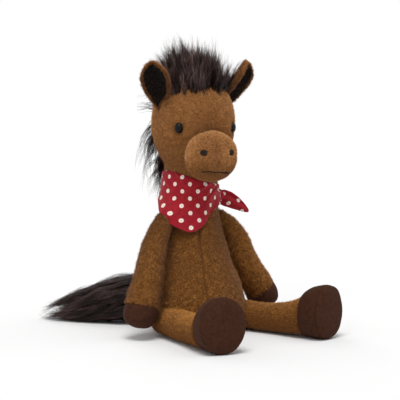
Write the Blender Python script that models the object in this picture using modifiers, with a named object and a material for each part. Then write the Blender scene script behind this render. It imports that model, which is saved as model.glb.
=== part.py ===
"""Plush horse that sits on its seat, with a spotted bandana tied round its neck.

Metres, +Z up. It sits on the plane z = 0 and faces -Y, so its right side is -X.
The head is turned a little to the horse's right, and the tail lies to the same side.
"""

import math

import bmesh
import bpy
from mathutils import Matrix, Vector

# Sewing
PILE_SKIN = 0.0022
SEAM_GAP = 0.0003
FLAT_CUT = 0.0005
OVERRUN = 0.02
WELD = 0.000002
REACH_ALL = 1.0
CREASE_ANGLE = math.radians(40.0)
QUARTER_TURN = math.radians(90.0)

LEFT = 1
RIGHT = -1
SIDES = {"left": LEFT, "right": RIGHT}

# Torso, a pear that leans back
TORSO_HEIGHT = 0.136
TORSO_RADIUS = 0.0505
TORSO_DEPTH_SHARE = 0.96
TORSO_RADIUS_SHARES = (0.56, 0.59, 0.665, 0.78, 0.93, 1.0, 0.99, 0.90, 0.74, 0.0)
TORSO_HEIGHT_SHARES = (1.0, 0.90, 0.74, 0.56, 0.38, 0.24, 0.12, 0.035, 0.0, 0.0)
TORSO_SEGMENTS = 22
NECK_OPENING_RADIUS = 0.020
BEAN_BAG_HEIGHT = 0.030
BEAN_BAG_HALF_WIDTH = 0.0185
BEAN_BAG_HALF_DEPTH = 0.032
POCKET_MOUTH_SHARE = 0.57

# Neck
NECK_BACK = 0.013
NECK_RADIUS = 0.0290
NECK_BALL_RADIUS = 0.0270
NECK_LENGTH = 0.040
NECK_JOINT_HEIGHT = TORSO_HEIGHT + NECK_LENGTH
NECK_WAIST_DROP = 0.0097
NECK_BALL_STEPS = 7
NECK_BALL_ROOM = 0.0015
NOD_ROOM = 0.0034

# Head, an egg with a snout in front
HEAD_TURN = math.radians(-13.0)
HEAD_BACK = 0.008
HEAD_RADIUS = 0.0435
HEAD_SINK = 0.006
HEAD_LENGTH = 0.0975
HEAD_BOTTOM = NECK_JOINT_HEIGHT - HEAD_SINK
HEAD_TOP = HEAD_BOTTOM + HEAD_LENGTH
HEAD_RADIUS_SHARES = (0.0, 0.30, 0.58, 0.83, 0.97, 1.0, 0.95, 0.85, 0.70, 0.50, 0.0)
HEAD_HEIGHT_SHARES = (1.0, 0.99, 0.94, 0.83, 0.67, 0.50, 0.34, 0.21, 0.10, 0.025, 0.0)
HEAD_SEGMENTS = 22
SNOUT_AHEAD = 0.018
SNOUT_RISE = 0.0205
SNOUT_HEIGHT = HEAD_BOTTOM + SNOUT_RISE
SNOUT_HALF_WIDTH = 0.0290
SNOUT_HALF_LENGTH = 0.0330
SNOUT_HALF_HEIGHT = 0.0290

# Muzzle, a domed panel on the front of the snout
MUZZLE_SEAM_AHEAD = 0.030
MUZZLE_LENGTH = 0.031
MUZZLE_HALF_WIDTH = 0.0292
MUZZLE_HALF_HEIGHT = 0.0262
MUZZLE_DROP = 0.0037
MUZZLE_HEIGHT = SNOUT_HEIGHT - MUZZLE_DROP
MUZZLE_RADIUS_SHARES = (0.0, 0.42, 0.70, 0.90, 0.99, 1.0, 0.92)
MUZZLE_LENGTH_SHARES = (1.0, 0.965, 0.86, 0.68, 0.45, 0.22, 0.0)
MUZZLE_SEGMENTS = 18
MUZZLE_ROOT_BACK = 0.011
NOSTRIL_SPACING = 0.030
NOSTRIL_RISE = 0.0044
NOSTRIL_HALF_WIDTH = 0.0029
NOSTRIL_HALF_HEIGHT = 0.0033
NOSTRIL_HALF_THICKNESS = 0.0010
MOUTH_HALF_WIDTH = 0.0165
MOUTH_DROP = 0.0146
MOUTH_DROOP = 0.0022
MOUTH_THREAD_RADIUS = 0.0006
MOUTH_STEPS = 8

# Eyes
EYE_RADIUS = 0.0046
EYE_DOME_DEPTH = 0.0029
EYE_ANGLE = math.radians(47.0)
EYE_DROP = 0.0512
EYE_HEIGHT = HEAD_TOP - EYE_DROP
EYE_POST_RADIUS = 0.0014
EYE_POST_LENGTH = 0.0075
EYE_POST_CLEARANCE = 0.0004
WASHER_RADIUS = 0.0055
WASHER_THICKNESS = 0.0014
WASHER_SETBACK = 0.0016

# Ears
EAR_LENGTH = 0.0480
EAR_HALF_WIDTH = 0.0145
EAR_THICKNESS = 0.0030
EAR_CUP = 0.0070
EAR_INSET = 0.0065
EAR_BASE_OUT = HEAD_RADIUS - EAR_INSET
EAR_BASE_AHEAD = 0.0060
EAR_DROP = 0.0265
EAR_BASE_HEIGHT = HEAD_TOP - EAR_DROP
EAR_LEAN = math.radians(22.0)
EAR_NOD = math.radians(14.0)
EAR_OPEN_ANGLE = math.radians(42.0)
EAR_WIDTH_SHARES = (0.62, 0.86, 1.0, 0.94, 0.72, 0.42, 0.08)
EAR_ROWS = 6
EAR_COLUMNS = 4
LINING_THICKNESS = 0.0010
LINING_WIDTH_SHARE = 0.74
LINING_LENGTH_SHARE = 0.86
LINING_START_SHARE = 0.10

# Hair
FORELOCK_HALF_WIDTH = 0.0325
FORELOCK_HALF_LENGTH = 0.0370
FORELOCK_HALF_HEIGHT = 0.0340
FORELOCK_RISE = 0.0015
FORELOCK_TUFT = 0.0028
FORELOCK_TUFTS = 9
MANE_DROP = 0.0195
MANE_LENGTH = 0.1040
MANE_THICKNESS = 0.0180
MANE_START = math.radians(168.0)
MANE_END = math.radians(246.0)
MANE_CLEARANCE = 0.0095
MANE_STEPS = 8
MANE_LOCKS = 8
MANE_LOCK_SHARE = 0.12
MANE_THICKNESS_SHARES = (0.59, 0.78, 0.91, 0.98, 1.0, 0.96, 0.86, 0.72, 0.55)
MANE_SPREAD_SHARES = (0.62, 0.74, 0.84, 0.91, 0.97, 1.0, 1.0, 0.97, 0.90)
MANE_EDGE_SHARES = (0.50, 0.72, 0.90, 0.99, 0.99, 0.90, 0.72, 0.50)

# Arms
SHOULDER_OUT = 0.0360
SHOULDER_BACK = 0.0120
SHOULDER_DROP = 0.0150
SHOULDER_HEIGHT = TORSO_HEIGHT - SHOULDER_DROP
ARM_ROOT_RADIUS = 0.0068
ARM_OUT = (SHOULDER_OUT, 0.0555, 0.0720, 0.0805, 0.0845)
ARM_BACK = (SHOULDER_BACK, 0.0040, -0.0010, -0.0030, -0.0045)
ARM_LENGTH = 0.0855
ARM_DROP_SHARES = (0.0, 0.222, 0.585, 0.830, 1.0)
ARM_RADII = (ARM_ROOT_RADIUS, 0.0110, 0.0143, 0.0166, 0.0180)
ROOT_STEPS = 3
ARM_SEGMENTS = 12
HAND_RADIUS_SHARES = (1.0, 1.05, 1.03, 0.90, 0.60, 0.0)
HAND_LENGTH_SHARES = (0.0, 0.25, 0.55, 0.80, 0.96, 1.0)
HAND_LENGTH = 0.0230
HAND_DEPTH_SHARE = 0.92

# Legs
HIP_OUT = 0.0430
HIP_AHEAD = 0.0030
LEG_SPLAYS = {LEFT: math.radians(10.5), RIGHT: math.radians(14.5)}
LEG_LENGTH = 0.1010
LEG_LENGTH_SHARES = (0.0, 0.297, 0.574, 0.822, 1.0)
LEG_RADII = (0.0185, 0.0178, 0.0178, 0.0205, 0.0232)
LEG_SEGMENTS = 14
LEG_RAISE = math.radians(15.0)
LEG_DANGLE = math.radians(85.0)
SWEEP_REACH = 0.101
SWEEP_SEGMENTS = 22
SWEEP_STEPS = 6
SWEEP_MARGIN_SHARE = 0.1
FOOT_LENGTH = 0.0310
FOOT_HALF_HEIGHT = 0.0288
FOOT_WIDTH_SHARE = 0.86
FOOT_RADIUS_SHARES = (0.82, 0.93, 1.0, 1.0, 0.90, 0.66, 0.0)
FOOT_LENGTH_SHARES = (0.0, 0.20, 0.48, 0.72, 0.88, 0.97, 1.0)

# Tail
TAIL_ROOT_BACK = 0.0599
TAIL_ROOT_HEIGHT = 0.0200
TAIL_SWEEP = math.radians(38.7)
TAIL_LENGTH = 0.1400
TAIL_LENGTH_SHARES = (0.0, 0.157, 0.336, 0.607, 0.807, 1.0)
TAIL_RADII = (0.0100, 0.0195, 0.0255, 0.0205, 0.0135, 0.0040)
TAIL_SEGMENTS = 15
TAIL_TUFT = 0.0012
TAIL_TUFTS = 5

# Bandana
CLOTH = 0.0011
CLOTH_EASE = 0.0009
BANDANA_TURN_DEGREES = (-180, -145, -112, -92, -76, -58, -42, -20, 2, 24, 50, 75, 100, 130, 180)
BANDANA_TOP_RISES = (0.033, 0.034, 0.034, 0.033, 0.032, 0.030, 0.027, 0.024, 0.022,
                     0.021, 0.020, 0.020, 0.023, 0.028, 0.033)
BANDANA_BOTTOM_RISES = (0.013, 0.010, 0.004, -0.002, -0.014, -0.024, -0.030, -0.022, -0.010,
                        -0.002, 0.001, 0.002, 0.007, 0.012, 0.013)
BANDANA_ROWS = 5
BANDANA_COLUMNS = 36
BANDANA_FOLD = 0.0009
BANDANA_FOLDS = 6
BANDANA_FOLD_DRIFT = 5.0
SHOULDER_RISE = 0.0150
SHOULDER_RISE_ANGLE = math.radians(-84.0)
SHOULDER_RISE_SPREAD = math.radians(30.0)
SHOULDER_RISE_TOP = 0.0080
SHOULDER_RISE_DROP = 0.0200
KNOT_ANGLE = math.radians(75.0)
KNOT_DROP = 0.0135
KNOT_RADIUS = 0.0075
KNOT_HALF_HEIGHT = 0.0086
END_LENGTH = 0.0300
END_HALF_WIDTHS = (0.0035, 0.0075, 0.0080, 0.0015)
END_HALF_THICKNESSES = (0.0013, 0.0011, 0.0009, 0.0008)
END_SEGMENTS = 8
END_ANGLE = math.radians(66.0)
END_DROOP = math.radians(34.0)

COLOURS = {
    "fur": (0.21, 0.085, 0.026, 0.95),
    "stuffing": (0.85, 0.84, 0.80, 1.0),
    "beans": (0.60, 0.55, 0.45, 0.8),
    "suede": (0.045, 0.020, 0.015, 0.9),
    "hair": (0.030, 0.020, 0.020, 0.7),
    "lining": (0.010, 0.006, 0.004, 1.0),
    "black_plastic": (0.004, 0.004, 0.004, 0.08),
    "clear_plastic": (0.75, 0.76, 0.78, 0.3),
    "thread": (0.012, 0.006, 0.004, 0.8),
    "red_cotton": (0.36, 0.012, 0.025, 0.85),
}


def clear_scene():
    for item in list(bpy.data.objects):
        bpy.data.objects.remove(item, do_unlink=True)


def make_collection(name):
    collection = bpy.data.collections.new(name)
    bpy.context.scene.collection.children.link(collection)
    return collection


def make_material(name, colour):
    """A plain surface of its own for one part."""
    red, green, blue, roughness = COLOURS[colour]
    material = bpy.data.materials.new(name)
    material.use_nodes = True
    shader = material.node_tree.nodes["Principled BSDF"]
    shader.inputs["Base Color"].default_value = (red, green, blue, 1.0)
    shader.inputs["Roughness"].default_value = roughness
    shader.inputs["Metallic"].default_value = 0.0
    return material


def add_object(name, mesh):
    item = bpy.data.objects.new(name, mesh)
    bpy.context.scene.collection.objects.link(item)
    return item


def finish(item, colour, pivot=None):
    """Names the part's material, shades it and hangs it on its joint's empty."""
    bpy.context.scene.collection.objects.unlink(item)
    PARTS.objects.link(item)
    item.data.materials.clear()
    item.data.materials.append(make_material(item.name, colour))
    item.data.shade_smooth()
    item.data.set_sharp_from_angle(angle=CREASE_ANGLE)
    if pivot is not None:
        item.parent = pivot
        item.matrix_parent_inverse = Matrix.Translation(-pivot.matrix_basis.translation)
        if pivot.parent is not None:
            item.matrix_parent_inverse = Matrix.Translation(-Vector(pivot["at"]))
    return item


def add_pivot(name, place, turn=0.0, parent=None):
    """An empty on a joint's axis, in the same frame as the parts that hang on it."""
    pivot = add_object(name, None)
    pivot["at"] = tuple(place)
    pivot.location = place
    pivot.rotation_euler.z = turn
    if parent is not None:
        pivot.parent = parent
        pivot.matrix_parent_inverse = Matrix.Translation(-Vector(parent["at"]))
    bpy.context.scene.collection.objects.unlink(pivot)
    PARTS.objects.link(pivot)
    return pivot


def bake(item):
    """The item's mesh as its modifiers leave it."""
    graph = bpy.context.evaluated_depsgraph_get()
    mesh = bpy.data.meshes.new_from_object(item.evaluated_get(graph), depsgraph=graph)
    item.modifiers.clear()
    item.data = mesh
    return item


def combine(item, tool, operation="DIFFERENCE", keep=False):
    """Cuts, joins or trims the item with the tool."""
    modifier = item.modifiers.new(operation.title(), "BOOLEAN")
    modifier.operation = operation
    modifier.solver = "EXACT"
    modifier.object = tool
    bake(item)
    shape = bmesh.new()
    shape.from_mesh(item.data)
    bmesh.ops.remove_doubles(shape, verts=shape.verts, dist=WELD)
    bmesh.ops.dissolve_degenerate(shape, edges=shape.edges, dist=WELD)
    shape.to_mesh(item.data)
    shape.free()
    if not keep:
        bpy.data.objects.remove(tool, do_unlink=True)
    return item


def smooth(points, steps):
    """Points along a curve that passes through the given ones."""
    points = [Vector(point) for point in points]
    before = 2 * points[0] - points[1]
    after = 2 * points[-1] - points[-2]
    track = [before, *points, after]
    curve = []
    for a, b, c, d in zip(track, track[1:], track[2:], track[3:]):
        for step in range(steps):
            t = step / steps
            square = 2 * a - 5 * b + 4 * c - d
            cube = 3 * b - 3 * c + d - a
            curve.append(0.5 * (2 * b + (c - a) * t + square * t**2 + cube * t**3))
    return [*curve, points[-1]]


def inset(profile, distance):
    """A turned profile moved in by a distance, square to itself."""
    moved = []
    for index, point in enumerate(profile):
        ahead = profile[min(index + 1, len(profile) - 1)]
        behind = profile[max(index - 1, 0)]
        run = (ahead - behind).normalized()
        out = Vector((-run.y, run.x))
        place = point - distance * out
        if point.x < WELD:
            place.x = 0.0
        moved.append(Vector((max(place.x, 0.0), place.y)))
    return moved


def turned(name, profile, segments):
    """A profile of (radius, height), from top to bottom, turned about Z."""
    mesh = bpy.data.meshes.new(name)
    edges = [(index, index + 1) for index in range(len(profile) - 1)]
    mesh.from_pydata([(point[0], 0.0, point[1]) for point in profile], edges, [])
    item = add_object(name, mesh)
    screw = item.modifiers.new("Turn", "SCREW")
    screw.angle = math.tau
    screw.steps = segments
    screw.render_steps = segments
    screw.use_merge_vertices = True
    screw.merge_threshold = WELD
    return bake(item)


def box(name, low, high):
    mesh = bpy.data.meshes.new(name)
    shape = bmesh.new()
    bmesh.ops.create_cube(shape, size=1.0)
    low = Vector(low)
    high = Vector(high)
    for vert in shape.verts:
        share = vert.co + Vector((0.5, 0.5, 0.5))
        vert.co = low + Vector(a * b for a, b in zip(share, high - low))
    shape.to_mesh(mesh)
    shape.free()
    return add_object(name, mesh)


def floor_block():
    """Everything below the plane that the plush sits on."""
    return box("floor", (-REACH_ALL, -REACH_ALL, -OVERRUN), (REACH_ALL, REACH_ALL, 0.0))


def ball(name, centre, radii, segments=16, rings=8):
    mesh = bpy.data.meshes.new(name)
    shape = bmesh.new()
    bmesh.ops.create_uvsphere(shape, u_segments=segments, v_segments=rings, radius=1.0)
    shape.to_mesh(mesh)
    shape.free()
    mesh.transform(Matrix.Translation(centre) @ Matrix.Diagonal((*radii, 1.0)))
    return add_object(name, mesh)


def rod(name, start, way, radius, length, segments=12):
    """A round bar from start along way."""
    mesh = bpy.data.meshes.new(name)
    shape = bmesh.new()
    bmesh.ops.create_cone(shape, cap_ends=True, segments=segments, radius1=radius,
                          radius2=radius, depth=length)
    shape.to_mesh(mesh)
    shape.free()
    way = Vector(way).normalized()
    turn = way.to_track_quat("Z", "Y").to_matrix().to_4x4()
    mesh.transform(Matrix.Translation(Vector(start) + way * length / 2) @ turn)
    return add_object(name, mesh)


def loft(name, rings):
    """A closed form through rings of points, flat at both ends."""
    mesh = bpy.data.meshes.new(name)
    shape = bmesh.new()
    rows = [[shape.verts.new(point) for point in ring] for ring in rings]
    for row, following in zip(rows, rows[1:]):
        for index in range(len(row)):
            across = (index + 1) % len(row)
            shape.faces.new((row[index], row[across], following[across], following[index]))
    shape.faces.new(list(reversed(rows[0])))
    shape.faces.new(rows[-1])
    bmesh.ops.recalc_face_normals(shape, faces=shape.faces)
    shape.to_mesh(mesh)
    shape.free()
    return add_object(name, mesh)


def ring(centre, way, half_width, half_height, segments, ripple=0.0, ripples=0):
    """An oval of points round a centre, square to way, with its height upwards."""
    way = Vector(way).normalized()
    side = way.cross(Vector((0.0, 0.0, 1.0)))
    side.normalize()
    rise = side.cross(way)
    points = []
    for index in range(segments):
        angle = math.tau * index / segments
        swell = ripple * math.cos(ripples * angle)
        across = (half_width + swell) * math.cos(angle)
        up = (half_height + swell) * math.sin(angle)
        points.append(Vector(centre) + side * across + rise * up)
    return points


def outline_of(radius_shares, height_shares, radius, height):
    """A profile from shares of a radius and of a height."""
    return [Vector((a * radius, b * height)) for a, b in zip(radius_shares, height_shares)]


def torso_profile():
    """The torso's outline from its top rim down to the middle of the seat."""
    return outline_of(TORSO_RADIUS_SHARES, TORSO_HEIGHT_SHARES, TORSO_RADIUS, TORSO_HEIGHT)


def torso_radius_at(height):
    """The torso's half-width at a height, and the neck's above it."""
    if height >= TORSO_HEIGHT:
        return NECK_RADIUS
    profile = torso_profile()
    for upper, lower in zip(profile, profile[1:]):
        if lower.y <= height <= upper.y and upper.y > lower.y:
            share = (height - lower.y) / (upper.y - lower.y)
            return lower.x + share * (upper.x - lower.x)
    return profile[0].x


def lean_back(item):
    """Shears an upright form so that its axis leans back to the neck."""
    slope = NECK_BACK / TORSO_HEIGHT
    shear = Matrix.Identity(4)
    shear[1][1] = TORSO_DEPTH_SHARE
    shear[1][2] = slope
    item.data.transform(shear)
    return item


def torso_form(name, distance):
    """The torso as a closed solid, moved in by a distance."""
    outline = torso_profile()
    rim = outline[0]
    inner = inset(outline, distance)
    inner = [Vector((point.x, min(point.y, rim.y - distance))) for point in inner]
    top = [Vector((0.0, inner[0].y))]
    return lean_back(turned(name, [*top, *inner], TORSO_SEGMENTS))


def hip_place(side):
    return Vector((side * HIP_OUT, -HIP_AHEAD, LEG_RADII[0] + FLAT_CUT))


def leg_way(side):
    return Vector((side * math.sin(LEG_SPLAYS[side]), -math.cos(LEG_SPLAYS[side]), 0.0))


def leg_rings(side, distance, end):
    """Rings down a leg, from the round root to the cuff."""
    hip = hip_place(side)
    way = leg_way(side)
    root = LEG_RADII[0] - distance
    rings = []
    for step in range(1, ROOT_STEPS):
        angle = QUARTER_TURN * step / ROOT_STEPS
        centre = hip - way * root * math.cos(angle)
        radius = root * math.sin(angle)
        rings.append(ring(centre, way, radius, radius, LEG_SEGMENTS))
    for share, radius in zip(LEG_LENGTH_SHARES, LEG_RADII):
        centre = hip + way * LEG_LENGTH * share
        centre.z = radius + FLAT_CUT / 2
        if share == 0.0:
            centre.z = hip.z
        rings.append(ring(centre, way, radius - distance, radius - distance, LEG_SEGMENTS))
    if end > 0.0:
        centre = centre + way * end
        rings.append(ring(centre, way, radius - distance, radius - distance, LEG_SEGMENTS))
    return rings


def leg_sweep(side):
    """Solids that fill the room a leg sweeps from raised to hanging, with a gap round it."""
    hip = hip_place(side)
    way = leg_way(side)
    across = Vector((-way.y, way.x, 0.0))
    half = max(LEG_RADII[:3]) + SEAM_GAP
    round_half = half + 2 * SEAM_GAP
    rings = SWEEP_SEGMENTS // 2
    solids = [ball("sweep", hip, [half + 4 * SEAM_GAP] * 3, SWEEP_SEGMENTS, rings)]
    for lift in (LEG_RAISE, -LEG_DANGLE):
        aim = way * math.cos(lift) + Vector((0.0, 0.0, math.sin(lift)))
        solids.append(rod("limit", hip, aim, round_half, SWEEP_REACH, 20))
    fan = []
    for offset in (-half, half):
        corner = [hip + across * offset]
        for step in range(SWEEP_STEPS + 1):
            share = (step + SWEEP_MARGIN_SHARE) / (SWEEP_STEPS + 2 * SWEEP_MARGIN_SHARE)
            lift = LEG_RAISE - (LEG_RAISE + LEG_DANGLE) * share
            aim = way * math.cos(lift) + Vector((0.0, 0.0, math.sin(lift)))
            corner.append(hip + across * offset + aim * SWEEP_REACH)
        fan.append(corner)
    solids.append(loft("fan", fan))
    return solids


def shoulder_place(side):
    return Vector((side * SHOULDER_OUT, SHOULDER_BACK, SHOULDER_HEIGHT))


def make_torso():
    skin = add_object("torso_skin", turned("outline", torso_profile(), TORSO_SEGMENTS).data)
    bpy.data.objects.remove(bpy.data.objects["outline"], do_unlink=True)
    lean_back(skin)
    shell = skin.modifiers.new("Fabric", "SOLIDIFY")
    shell.thickness = PILE_SKIN
    shell.offset = -1.0
    shell.use_even_offset = True
    bake(skin)
    stuffing = torso_form("torso_stuffing", PILE_SKIN + 3 * SEAM_GAP)
    bag_centre = (0.0, 0.0, PILE_SKIN + 2 * SEAM_GAP + BEAN_BAG_HEIGHT / 2)
    bag_radii = (BEAN_BAG_HALF_WIDTH, BEAN_BAG_HALF_DEPTH, BEAN_BAG_HEIGHT / 2)
    bag = ball("bean_bag", bag_centre, bag_radii)
    hollow = [radius + SEAM_GAP for radius in bag_radii]
    pocket = ball("pocket", bag_centre, hollow)
    combine(stuffing, pocket)
    mouth_radius = BEAN_BAG_HALF_WIDTH * POCKET_MOUTH_SHARE
    combine(stuffing, rod("mouth", bag_centre, (0.0, 0.0, -1.0), mouth_radius, BEAN_BAG_HEIGHT))
    for side in SIDES.values():
        for hole in leg_sweep(side):
            combine(skin, hole, keep=True)
            combine(stuffing, hole)
        socket_radius = ARM_ROOT_RADIUS + 2 * SEAM_GAP
        socket = ball("socket", shoulder_place(side), [socket_radius] * 3)
        combine(skin, socket, keep=True)
        combine(stuffing, socket)
    finish(skin, "fur")
    finish(stuffing, "stuffing")
    finish(bag, "beans")


def neck_form(name, distance):
    """A column with a round top that the head rocks on."""
    base = TORSO_HEIGHT + SEAM_GAP
    ball_radius = NECK_BALL_RADIUS - distance
    profile = [Vector((0.0, NECK_JOINT_HEIGHT + ball_radius))]
    for step in range(1, NECK_BALL_STEPS):
        angle = QUARTER_TURN * step / NECK_BALL_STEPS
        height = NECK_JOINT_HEIGHT + ball_radius * math.cos(angle)
        profile.append(Vector((ball_radius * math.sin(angle), height)))
    waist = NECK_RADIUS - distance
    profile.append(Vector((ball_radius, NECK_JOINT_HEIGHT)))
    profile.append(Vector((waist, NECK_JOINT_HEIGHT - NECK_WAIST_DROP)))
    profile.append(Vector((waist, base + distance)))
    profile.append(Vector((0.0, base + distance)))
    item = turned(name, profile, TORSO_SEGMENTS)
    item.data.transform(Matrix.Translation((0.0, NECK_BACK, 0.0)))
    return item


def make_neck(pivot):
    skin = neck_form("neck_skin", 0.0)
    hollow = neck_form("hollow", PILE_SKIN)
    throat_start = (0.0, NECK_BACK, TORSO_HEIGHT - OVERRUN)
    throat = rod("throat", throat_start, (0.0, 0.0, 1.0), NECK_OPENING_RADIUS, 2 * OVERRUN)
    combine(skin, hollow)
    combine(skin, throat)
    stuffing = neck_form("neck_stuffing", PILE_SKIN + SEAM_GAP)
    finish(skin, "fur", pivot)
    finish(stuffing, "stuffing", pivot)


def head_form(name, distance):
    """The head's egg and snout as one closed solid, moved in by a distance."""
    tall = HEAD_TOP - HEAD_BOTTOM
    outline = outline_of(HEAD_RADIUS_SHARES, HEAD_HEIGHT_SHARES, HEAD_RADIUS, tall)
    egg = turned(name, inset(outline, distance), HEAD_SEGMENTS)
    egg.data.transform(Matrix.Translation((0.0, HEAD_BACK, HEAD_BOTTOM)))
    radii = (SNOUT_HALF_WIDTH, SNOUT_HALF_LENGTH, SNOUT_HALF_HEIGHT)
    centre = (0.0, HEAD_BACK - SNOUT_AHEAD, SNOUT_HEIGHT)
    snout = ball("snout", centre, [radius - distance for radius in radii])
    combine(egg, snout, "UNION")
    return egg


def head_radius_at(height):
    tall = HEAD_TOP - HEAD_BOTTOM
    outline = outline_of(HEAD_RADIUS_SHARES, HEAD_HEIGHT_SHARES, HEAD_RADIUS, tall)
    for upper, lower in zip(outline, outline[1:]):
        if lower.y <= height - HEAD_BOTTOM <= upper.y and upper.y > lower.y:
            share = (height - HEAD_BOTTOM - lower.y) / (upper.y - lower.y)
            return lower.x + share * (upper.x - lower.x)
    return 0.0


def eye_place(side):
    radius = head_radius_at(EYE_HEIGHT)
    out = Vector((side * math.sin(EYE_ANGLE), -math.cos(EYE_ANGLE), 0.0))
    return Vector((0.0, HEAD_BACK, EYE_HEIGHT)) + out * radius, out


def make_head(pivot):
    skin = head_form("head_skin", 0.0)
    combine(skin, head_form("hollow", PILE_SKIN))
    stuffing = head_form("head_stuffing", PILE_SKIN + SEAM_GAP)
    joint_at = (0.0, NECK_BACK, NECK_JOINT_HEIGHT)
    room = ball("room", joint_at, [NECK_BALL_RADIUS + NECK_BALL_ROOM] * 3, 22, 12)
    below = rod("below", joint_at, (0.0, 0.0, -1.0), NECK_RADIUS + NOD_ROOM, 2 * OVERRUN, 22)
    combine(room, below, "UNION")
    combine(skin, room, keep=True)
    combine(stuffing, room)
    for side_name, side in SIDES.items():
        place, out = eye_place(side)
        inside = place - out * (PILE_SKIN + EYE_POST_LENGTH)
        hole = rod("hole", inside, out, EYE_POST_RADIUS + EYE_POST_CLEARANCE, 2 * EYE_POST_LENGTH)
        combine(skin, hole)
        deep = PILE_SKIN + EYE_POST_LENGTH
        room = rod("room", place - out * deep, out, WASHER_RADIUS + 2 * SEAM_GAP, deep)
        combine(stuffing, room)
        make_eye(side_name, place, out, pivot)
    finish(skin, "fur", pivot)
    finish(stuffing, "stuffing", pivot)


def make_eye(side_name, place, out, pivot):
    """A plastic safety eye: a dome on a post, held by a washer inside the fabric."""
    seat = place + out * 2 * SEAM_GAP
    eye = ball(f"eye_{side_name}", (0.0, 0.0, 0.0), (EYE_RADIUS, EYE_RADIUS, EYE_DOME_DEPTH), 14)
    low = (-OVERRUN, -OVERRUN, -OVERRUN)
    combine(eye, box("back", low, (OVERRUN, OVERRUN, 0.0)))
    turn = out.to_track_quat("Z", "Y").to_matrix().to_4x4()
    eye.data.transform(Matrix.Translation(seat) @ turn)
    post = rod("post", place - out * EYE_POST_LENGTH, out, EYE_POST_RADIUS,
               EYE_POST_LENGTH + 2 * SEAM_GAP + EYE_DOME_DEPTH / 2)
    combine(eye, post, "UNION")
    back = place - out * (PILE_SKIN + WASHER_SETBACK + WASHER_THICKNESS)
    washer = rod(f"eye_washer_{side_name}", back, out, WASHER_RADIUS, WASHER_THICKNESS)
    bore = EYE_POST_RADIUS + SEAM_GAP
    combine(washer, rod("bore", back - out * OVERRUN, out, bore, 2 * OVERRUN))
    finish(eye, "black_plastic", pivot)
    finish(washer, "clear_plastic", pivot)


def muzzle_form(name, distance, back):
    """The muzzle's dome, reaching back past its seam, moved in by a distance."""
    outline = outline_of(MUZZLE_RADIUS_SHARES, MUZZLE_LENGTH_SHARES, 1.0, MUZZLE_LENGTH)
    outline.append(Vector((outline[-1].x, -back)))
    outline.append(Vector((0.0, -back)))
    item = turned(name, outline, MUZZLE_SEGMENTS)
    wide = MUZZLE_HALF_WIDTH - distance
    high = MUZZLE_HALF_HEIGHT - distance
    long_share = (MUZZLE_LENGTH - distance) / MUZZLE_LENGTH
    # The turning axis points ahead, the muzzle's height stays upright.
    aim = Matrix(((wide, 0, 0, 0), (0, 0, -long_share, 0), (0, high, 0, 0), (0, 0, 0, 1)))
    item.data.transform(aim)
    item.data.flip_normals()
    ahead = (0.0, HEAD_BACK - MUZZLE_SEAM_AHEAD, MUZZLE_HEIGHT)
    item.data.transform(Matrix.Translation(ahead))
    shape = bmesh.new()
    shape.from_mesh(item.data)
    bmesh.ops.recalc_face_normals(shape, faces=shape.faces)
    shape.to_mesh(item.data)
    shape.free()
    return item


def muzzle_point(across, height):
    """A point on the muzzle's dome and the way out of it."""
    wide = across / MUZZLE_HALF_WIDTH
    high = (height - MUZZLE_HEIGHT) / MUZZLE_HALF_HEIGHT
    share = math.hypot(wide, high)
    table = list(zip(MUZZLE_RADIUS_SHARES, MUZZLE_LENGTH_SHARES))
    reach = table[-1][1]
    slope = 0.0
    for (near, far_length), (far, near_length) in zip(table, table[1:]):
        if near <= share <= far:
            slope = (near_length - far_length) / (far - near)
            reach = far_length + (share - near) * slope
            break
    seam = HEAD_BACK - MUZZLE_SEAM_AHEAD
    place = Vector((across, seam - reach * MUZZLE_LENGTH, height))
    fall = slope * MUZZLE_LENGTH / max(share, WELD)
    out = Vector((-fall * wide / MUZZLE_HALF_WIDTH, -1.0, -fall * high / MUZZLE_HALF_HEIGHT))
    return place, out.normalized()


def make_muzzle(pivot):
    skin = muzzle_form("muzzle_skin", 0.0, MUZZLE_ROOT_BACK)
    combine(skin, muzzle_form("hollow", PILE_SKIN, MUZZLE_ROOT_BACK + OVERRUN))
    stuffing = muzzle_form("muzzle_stuffing", PILE_SKIN + SEAM_GAP, MUZZLE_ROOT_BACK)
    for item in (skin, stuffing):
        combine(item, head_form("head", -SEAM_GAP))
    finish(skin, "fur", pivot)
    finish(stuffing, "stuffing", pivot)
    for side_name, side in SIDES.items():
        place, out = muzzle_point(side * NOSTRIL_SPACING / 2, MUZZLE_HEIGHT + NOSTRIL_RISE)
        size = (NOSTRIL_HALF_WIDTH, NOSTRIL_HALF_HEIGHT, NOSTRIL_HALF_THICKNESS)
        nostril = ball(f"nostril_{side_name}", (0.0, 0.0, 0.0), size, 10, 6)
        turn = out.to_track_quat("Z", "Y").to_matrix().to_4x4()
        lift = NOSTRIL_HALF_THICKNESS + SEAM_GAP * 2
        nostril.data.transform(Matrix.Translation(place + out * lift) @ turn)
        finish(nostril, "thread", pivot)
    route = []
    for step in range(MOUTH_STEPS + 1):
        share = 2 * step / MOUTH_STEPS - 1
        height = MUZZLE_HEIGHT - MOUTH_DROP - MOUTH_DROOP * share**2
        place, out = muzzle_point(share * MOUTH_HALF_WIDTH, height)
        route.append(place + out * (MOUTH_THREAD_RADIUS + SEAM_GAP * 2))
    finish(wire("mouth_stitch", route, MOUTH_THREAD_RADIUS), "thread", pivot)


def wire(name, route, radius):
    """A round thread through points."""
    curve = bpy.data.curves.new(name, "CURVE")
    curve.dimensions = "3D"
    curve.bevel_depth = radius
    curve.bevel_resolution = 1
    curve.use_fill_caps = True
    spline = curve.splines.new("POLY")
    spline.points.add(len(route) - 1)
    for point, place in zip(spline.points, route):
        point.co = (*place, 1.0)
    return as_mesh(add_object(name, curve))


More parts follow.
